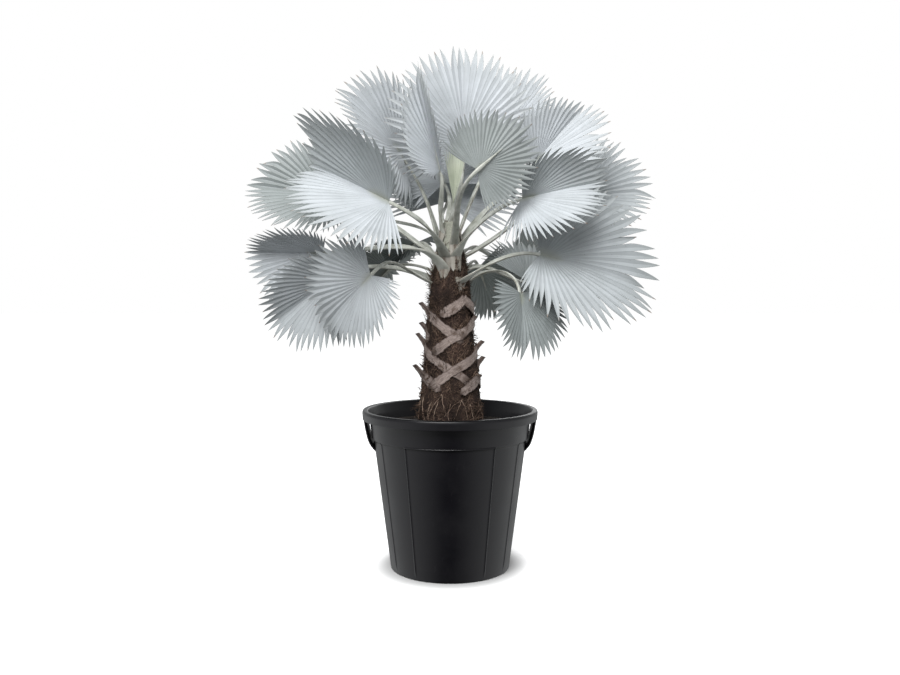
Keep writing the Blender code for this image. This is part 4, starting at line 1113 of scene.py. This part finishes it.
frond("Frond_right_upper", 3, 15, 25, (0.40, 0.22, 1.19), (-25, 5, -60), 0.30,
      spread=(120, 120), shorten=(0.35, 0.35), ease=(1.4, 1.4), fold=(18, 20), bend=12, segments=44, wax_and_shade=0.6)
frond("Frond_left_upper", 3, 180, 35, (-0.38, 0.04, 1.18), (180, 9, 72), 0.30,
      spread=(120, 120), shorten=(0.65, 0.55), ease=(1.2, 1.0), fold=(22, 30), bend=12, segments=44, wax_and_shade=0.0)
frond("Frond_back_left", 3, 100, 55, (-0.28, 0.34, 1.15), (140, 20, -45), 0.33,
      spread=(128, 128), shorten=(0.36, 0.36), ease=(1.3, 1.3), fold=(25, 10), bend=10, segments=44, wax_and_shade=0.4)
frond("Frond_back_right", 3, 60, 40, (0.23, 0.42, 0.95), (55, -10, 55), 0.34,
      spread=(128, 128), shorten=(0.36, 0.36), ease=(1.3, 1.3), fold=(10, 20), bend=10, segments=44, wax_and_shade=0.4)
frond("Frond_top_left", 4, 155, 75, (-0.16, 0.14, 1.33), (230, 40, 75), 0.32,
      spread=(90, 120), shorten=(0.45, 0.35), ease=(2.3, 1.5), fold=(20, 15), bend=15, segments=40)
frond("Frond_front_high", 4, 290, 60, (0.08, -0.26, 1.23), (25, 40, 90), 0.225, base_width=0.028,
      spread=(115, 120), shorten=(0.40, 0.45), ease=(0.8, 1.0), fold=(3, 3), bend=10, segments=40, wax_and_shade=0.55)
frond("Frond_right_high", 4, 30, 60, (0.271, 0.055, 1.287), (0, 50, -72), 0.300, wax_and_shade=1.0,
      spread=(112, 110), shorten=(0.62, 0.65), ease=(1.3, 1.0), fold=(20, 42), lean=-12, bend=10, segments=44)
frond("Frond_back_high_left", 4, 105, 65, (-0.02, 0.22, 1.25), (130, 50, 25), 0.30,
      spread=(125, 125), shorten=(0.38, 0.38), ease=(1.3, 1.3), fold=(20, 15), bend=15, segments=44)
frond("Frond_top", 5, 70, 80, (0.045, 0.09, 1.36), (-100, 80, 165), 0.33, base_width=0.028,
      spread=(120, 125), shorten=(0.40, 0.35), ease=(1.1, 1.6), fold=(20, 15), bend=15, segments=46)
frond("Frond_top_front_left", 5, 210, 70, (-0.03, -0.10, 1.25), (160, 76, 92), 0.375, base_width=0.034,
      spread=(120, 120), shorten=(0.80, 0.87), ease=(0.8, 0.6), fold=(65, 65), bend=0, segments=42)
frond("Frond_top_right", 5, 5, 70, (0.17, 0.22, 1.38), (-15, 60, -75), 0.29, base_width=0.028,
      spread=(120, 125), shorten=(0.40, 0.35), ease=(0.8, 1.5), fold=(25, 15), bend=10, segments=44)
frond("Frond_back_high", 5, 125, 70, (-0.01, 0.28, 1.19), (65, 55, -20), 0.34, base_width=0.028,
      spread=(128, 128), shorten=(0.36, 0.36), ease=(1.3, 1.3), fold=(10, 10), bend=15, segments=44)
frond("Young_leaf", 6, 110, 88, (0.010, -0.010, 1.130), (-70, 86, 180), 0.23, base_width=0.018,
      spread=(14, 14), shorten=(0.14, 0.20), ease=(1.5, 1.2), fold=(30, 25), bend=4, segments=10, droop=0.0,
      skins=(young_skin, young_skin), material_slot="young_palm_leaf")


# Studio: a plain pale floor with the pot's soft contact shadow painted into its colour and glow, a broad
# soft light overhead in front and a weaker one behind. The surround is even above the horizon and, below
# it, bright at the plant's sides and dark in front and behind. The camera sees it white.
FLOOR_HALF = 30.0
PAINTED_SHADOW_GLOW_RADII = (0.190, 0.31)
PAINTED_SHADOW_GLOW_LEVELS = (0.02, 0.52)
PAINTED_SHADOW_TONE_RADII = (0.180, 0.30)
PAINTED_SHADOW_TONE_LEVELS = (0.42, 0.92)
SKY_COLOUR = (0.975, 0.995, 1.0)
SKY_ABOVE = 0.60
SKY_SIDES = (0.04, 1.25)
SKY_SIDE_ENDS = (0.15, 0.90)
WHITE = (1.0, 1.0, 1.0)
KEY_WATTS = 360
BACK_WATTS = 70
CROWN_MIDDLE = (0, 0, 1.0)
CAMERA_DISTANCE = 2.88
CAMERA_HEIGHT = 0.88
LENS = 36
PICTURE_WIDTH = 900
PIXELS_DOWN = 47.5

floor_corners = FLOOR_HALF * np.array([(-1, -1, 0), (1, -1, 0), (1, 1, 0), (-1, 1, 0)])
floor_mesh = new_mesh("Floor", floor_corners, np.array([(0, 1, 2, 3)]), smooth=False)
floor = bpy.data.objects.new("Floor", floor_mesh)
bpy.context.scene.collection.objects.link(floor)
floor_with_painted_shadow, floor_nodes, floor_place = new_material("floor_with_painted_shadow")
# Painted contact shadow: the floor's glow and its colour both fall towards the pot's foot.
from_pot = floor_nodes.out("VectorMath", {0: floor_place}, output="Value", operation="LENGTH")
glow_with_painted_shadow = floor_nodes.ranged(from_pot, *PAINTED_SHADOW_GLOW_RADII, *PAINTED_SHADOW_GLOW_LEVELS, interpolation_type="SMOOTHSTEP")
pale = floor_nodes.ranged(from_pot, *PAINTED_SHADOW_TONE_RADII, *PAINTED_SHADOW_TONE_LEVELS, interpolation_type="SMOOTHSTEP")
floor_nodes.finish(Base_Color=pale, Roughness=0.9, Specular_IOR_Level=0.0, Emission_Color=WHITE,
                   Emission_Strength=glow_with_painted_shadow)
floor.data.materials.append(floor_with_painted_shadow)
floor.visible_diffuse = False
floor.visible_glossy = False

world = bpy.data.worlds.new("Studio")
bpy.context.scene.world = world
world.use_nodes = True
sky = Wiring(world.node_tree)
toward = sky.node("SeparateXYZ", {0: sky.out("TexCoord", output="Generated")}).outputs
sideways = sky.ranged(sky.maths("ABSOLUTE", toward[0]), *SKY_SIDE_ENDS, *SKY_SIDES)
below = sky.ranged(toward[2], 0.0, -0.15, 0.0, 1.0)
strength = sky.out("Mix", {0: below, 2: SKY_ABOVE, 3: sideways})
surround = sky.out("Background", {"Color": SKY_COLOUR, "Strength": strength})
backdrop = sky.out("Background", {"Color": WHITE, "Strength": 1.0})
seen = sky.out("LightPath", output="Is Camera Ray")
shown = sky.out("MixShader", {0: seen, 1: surround, 2: backdrop})
sky.put(sky.tree.nodes["World Output"].inputs[0], shown)


def soft_light(name, watts, size, place, target):
    """A square white area light that faces its target."""
    made = bpy.data.objects.new(name, bpy.data.lights.new(name, "AREA"))
    made.data.energy, made.data.size = watts, size
    made.location = place
    made.rotation_euler = (Vector(target) - Vector(place)).to_track_quat("-Z", "Y").to_euler()
    bpy.context.scene.collection.objects.link(made)


soft_light("Key", KEY_WATTS, 3.0, (-0.9, -3.0, 4.2), CROWN_MIDDLE)
soft_light("Back", BACK_WATTS, 3.5, (1.6, 3.6, 3.0), CROWN_MIDDLE)
bpy.context.scene.view_settings.view_transform = "Standard"
camera = bpy.data.objects.new("Camera", bpy.data.cameras.new("Camera"))
camera.location = (0, -CAMERA_DISTANCE, CAMERA_HEIGHT)
camera.rotation_euler = (np.pi / 2, 0, 0)
camera.data.sensor_width = camera.data.lens = LENS
camera.data.shift_y = -PIXELS_DOWN / PICTURE_WIDTH
bpy.context.scene.collection.objects.link(camera)
bpy.context.scene.camera = camera
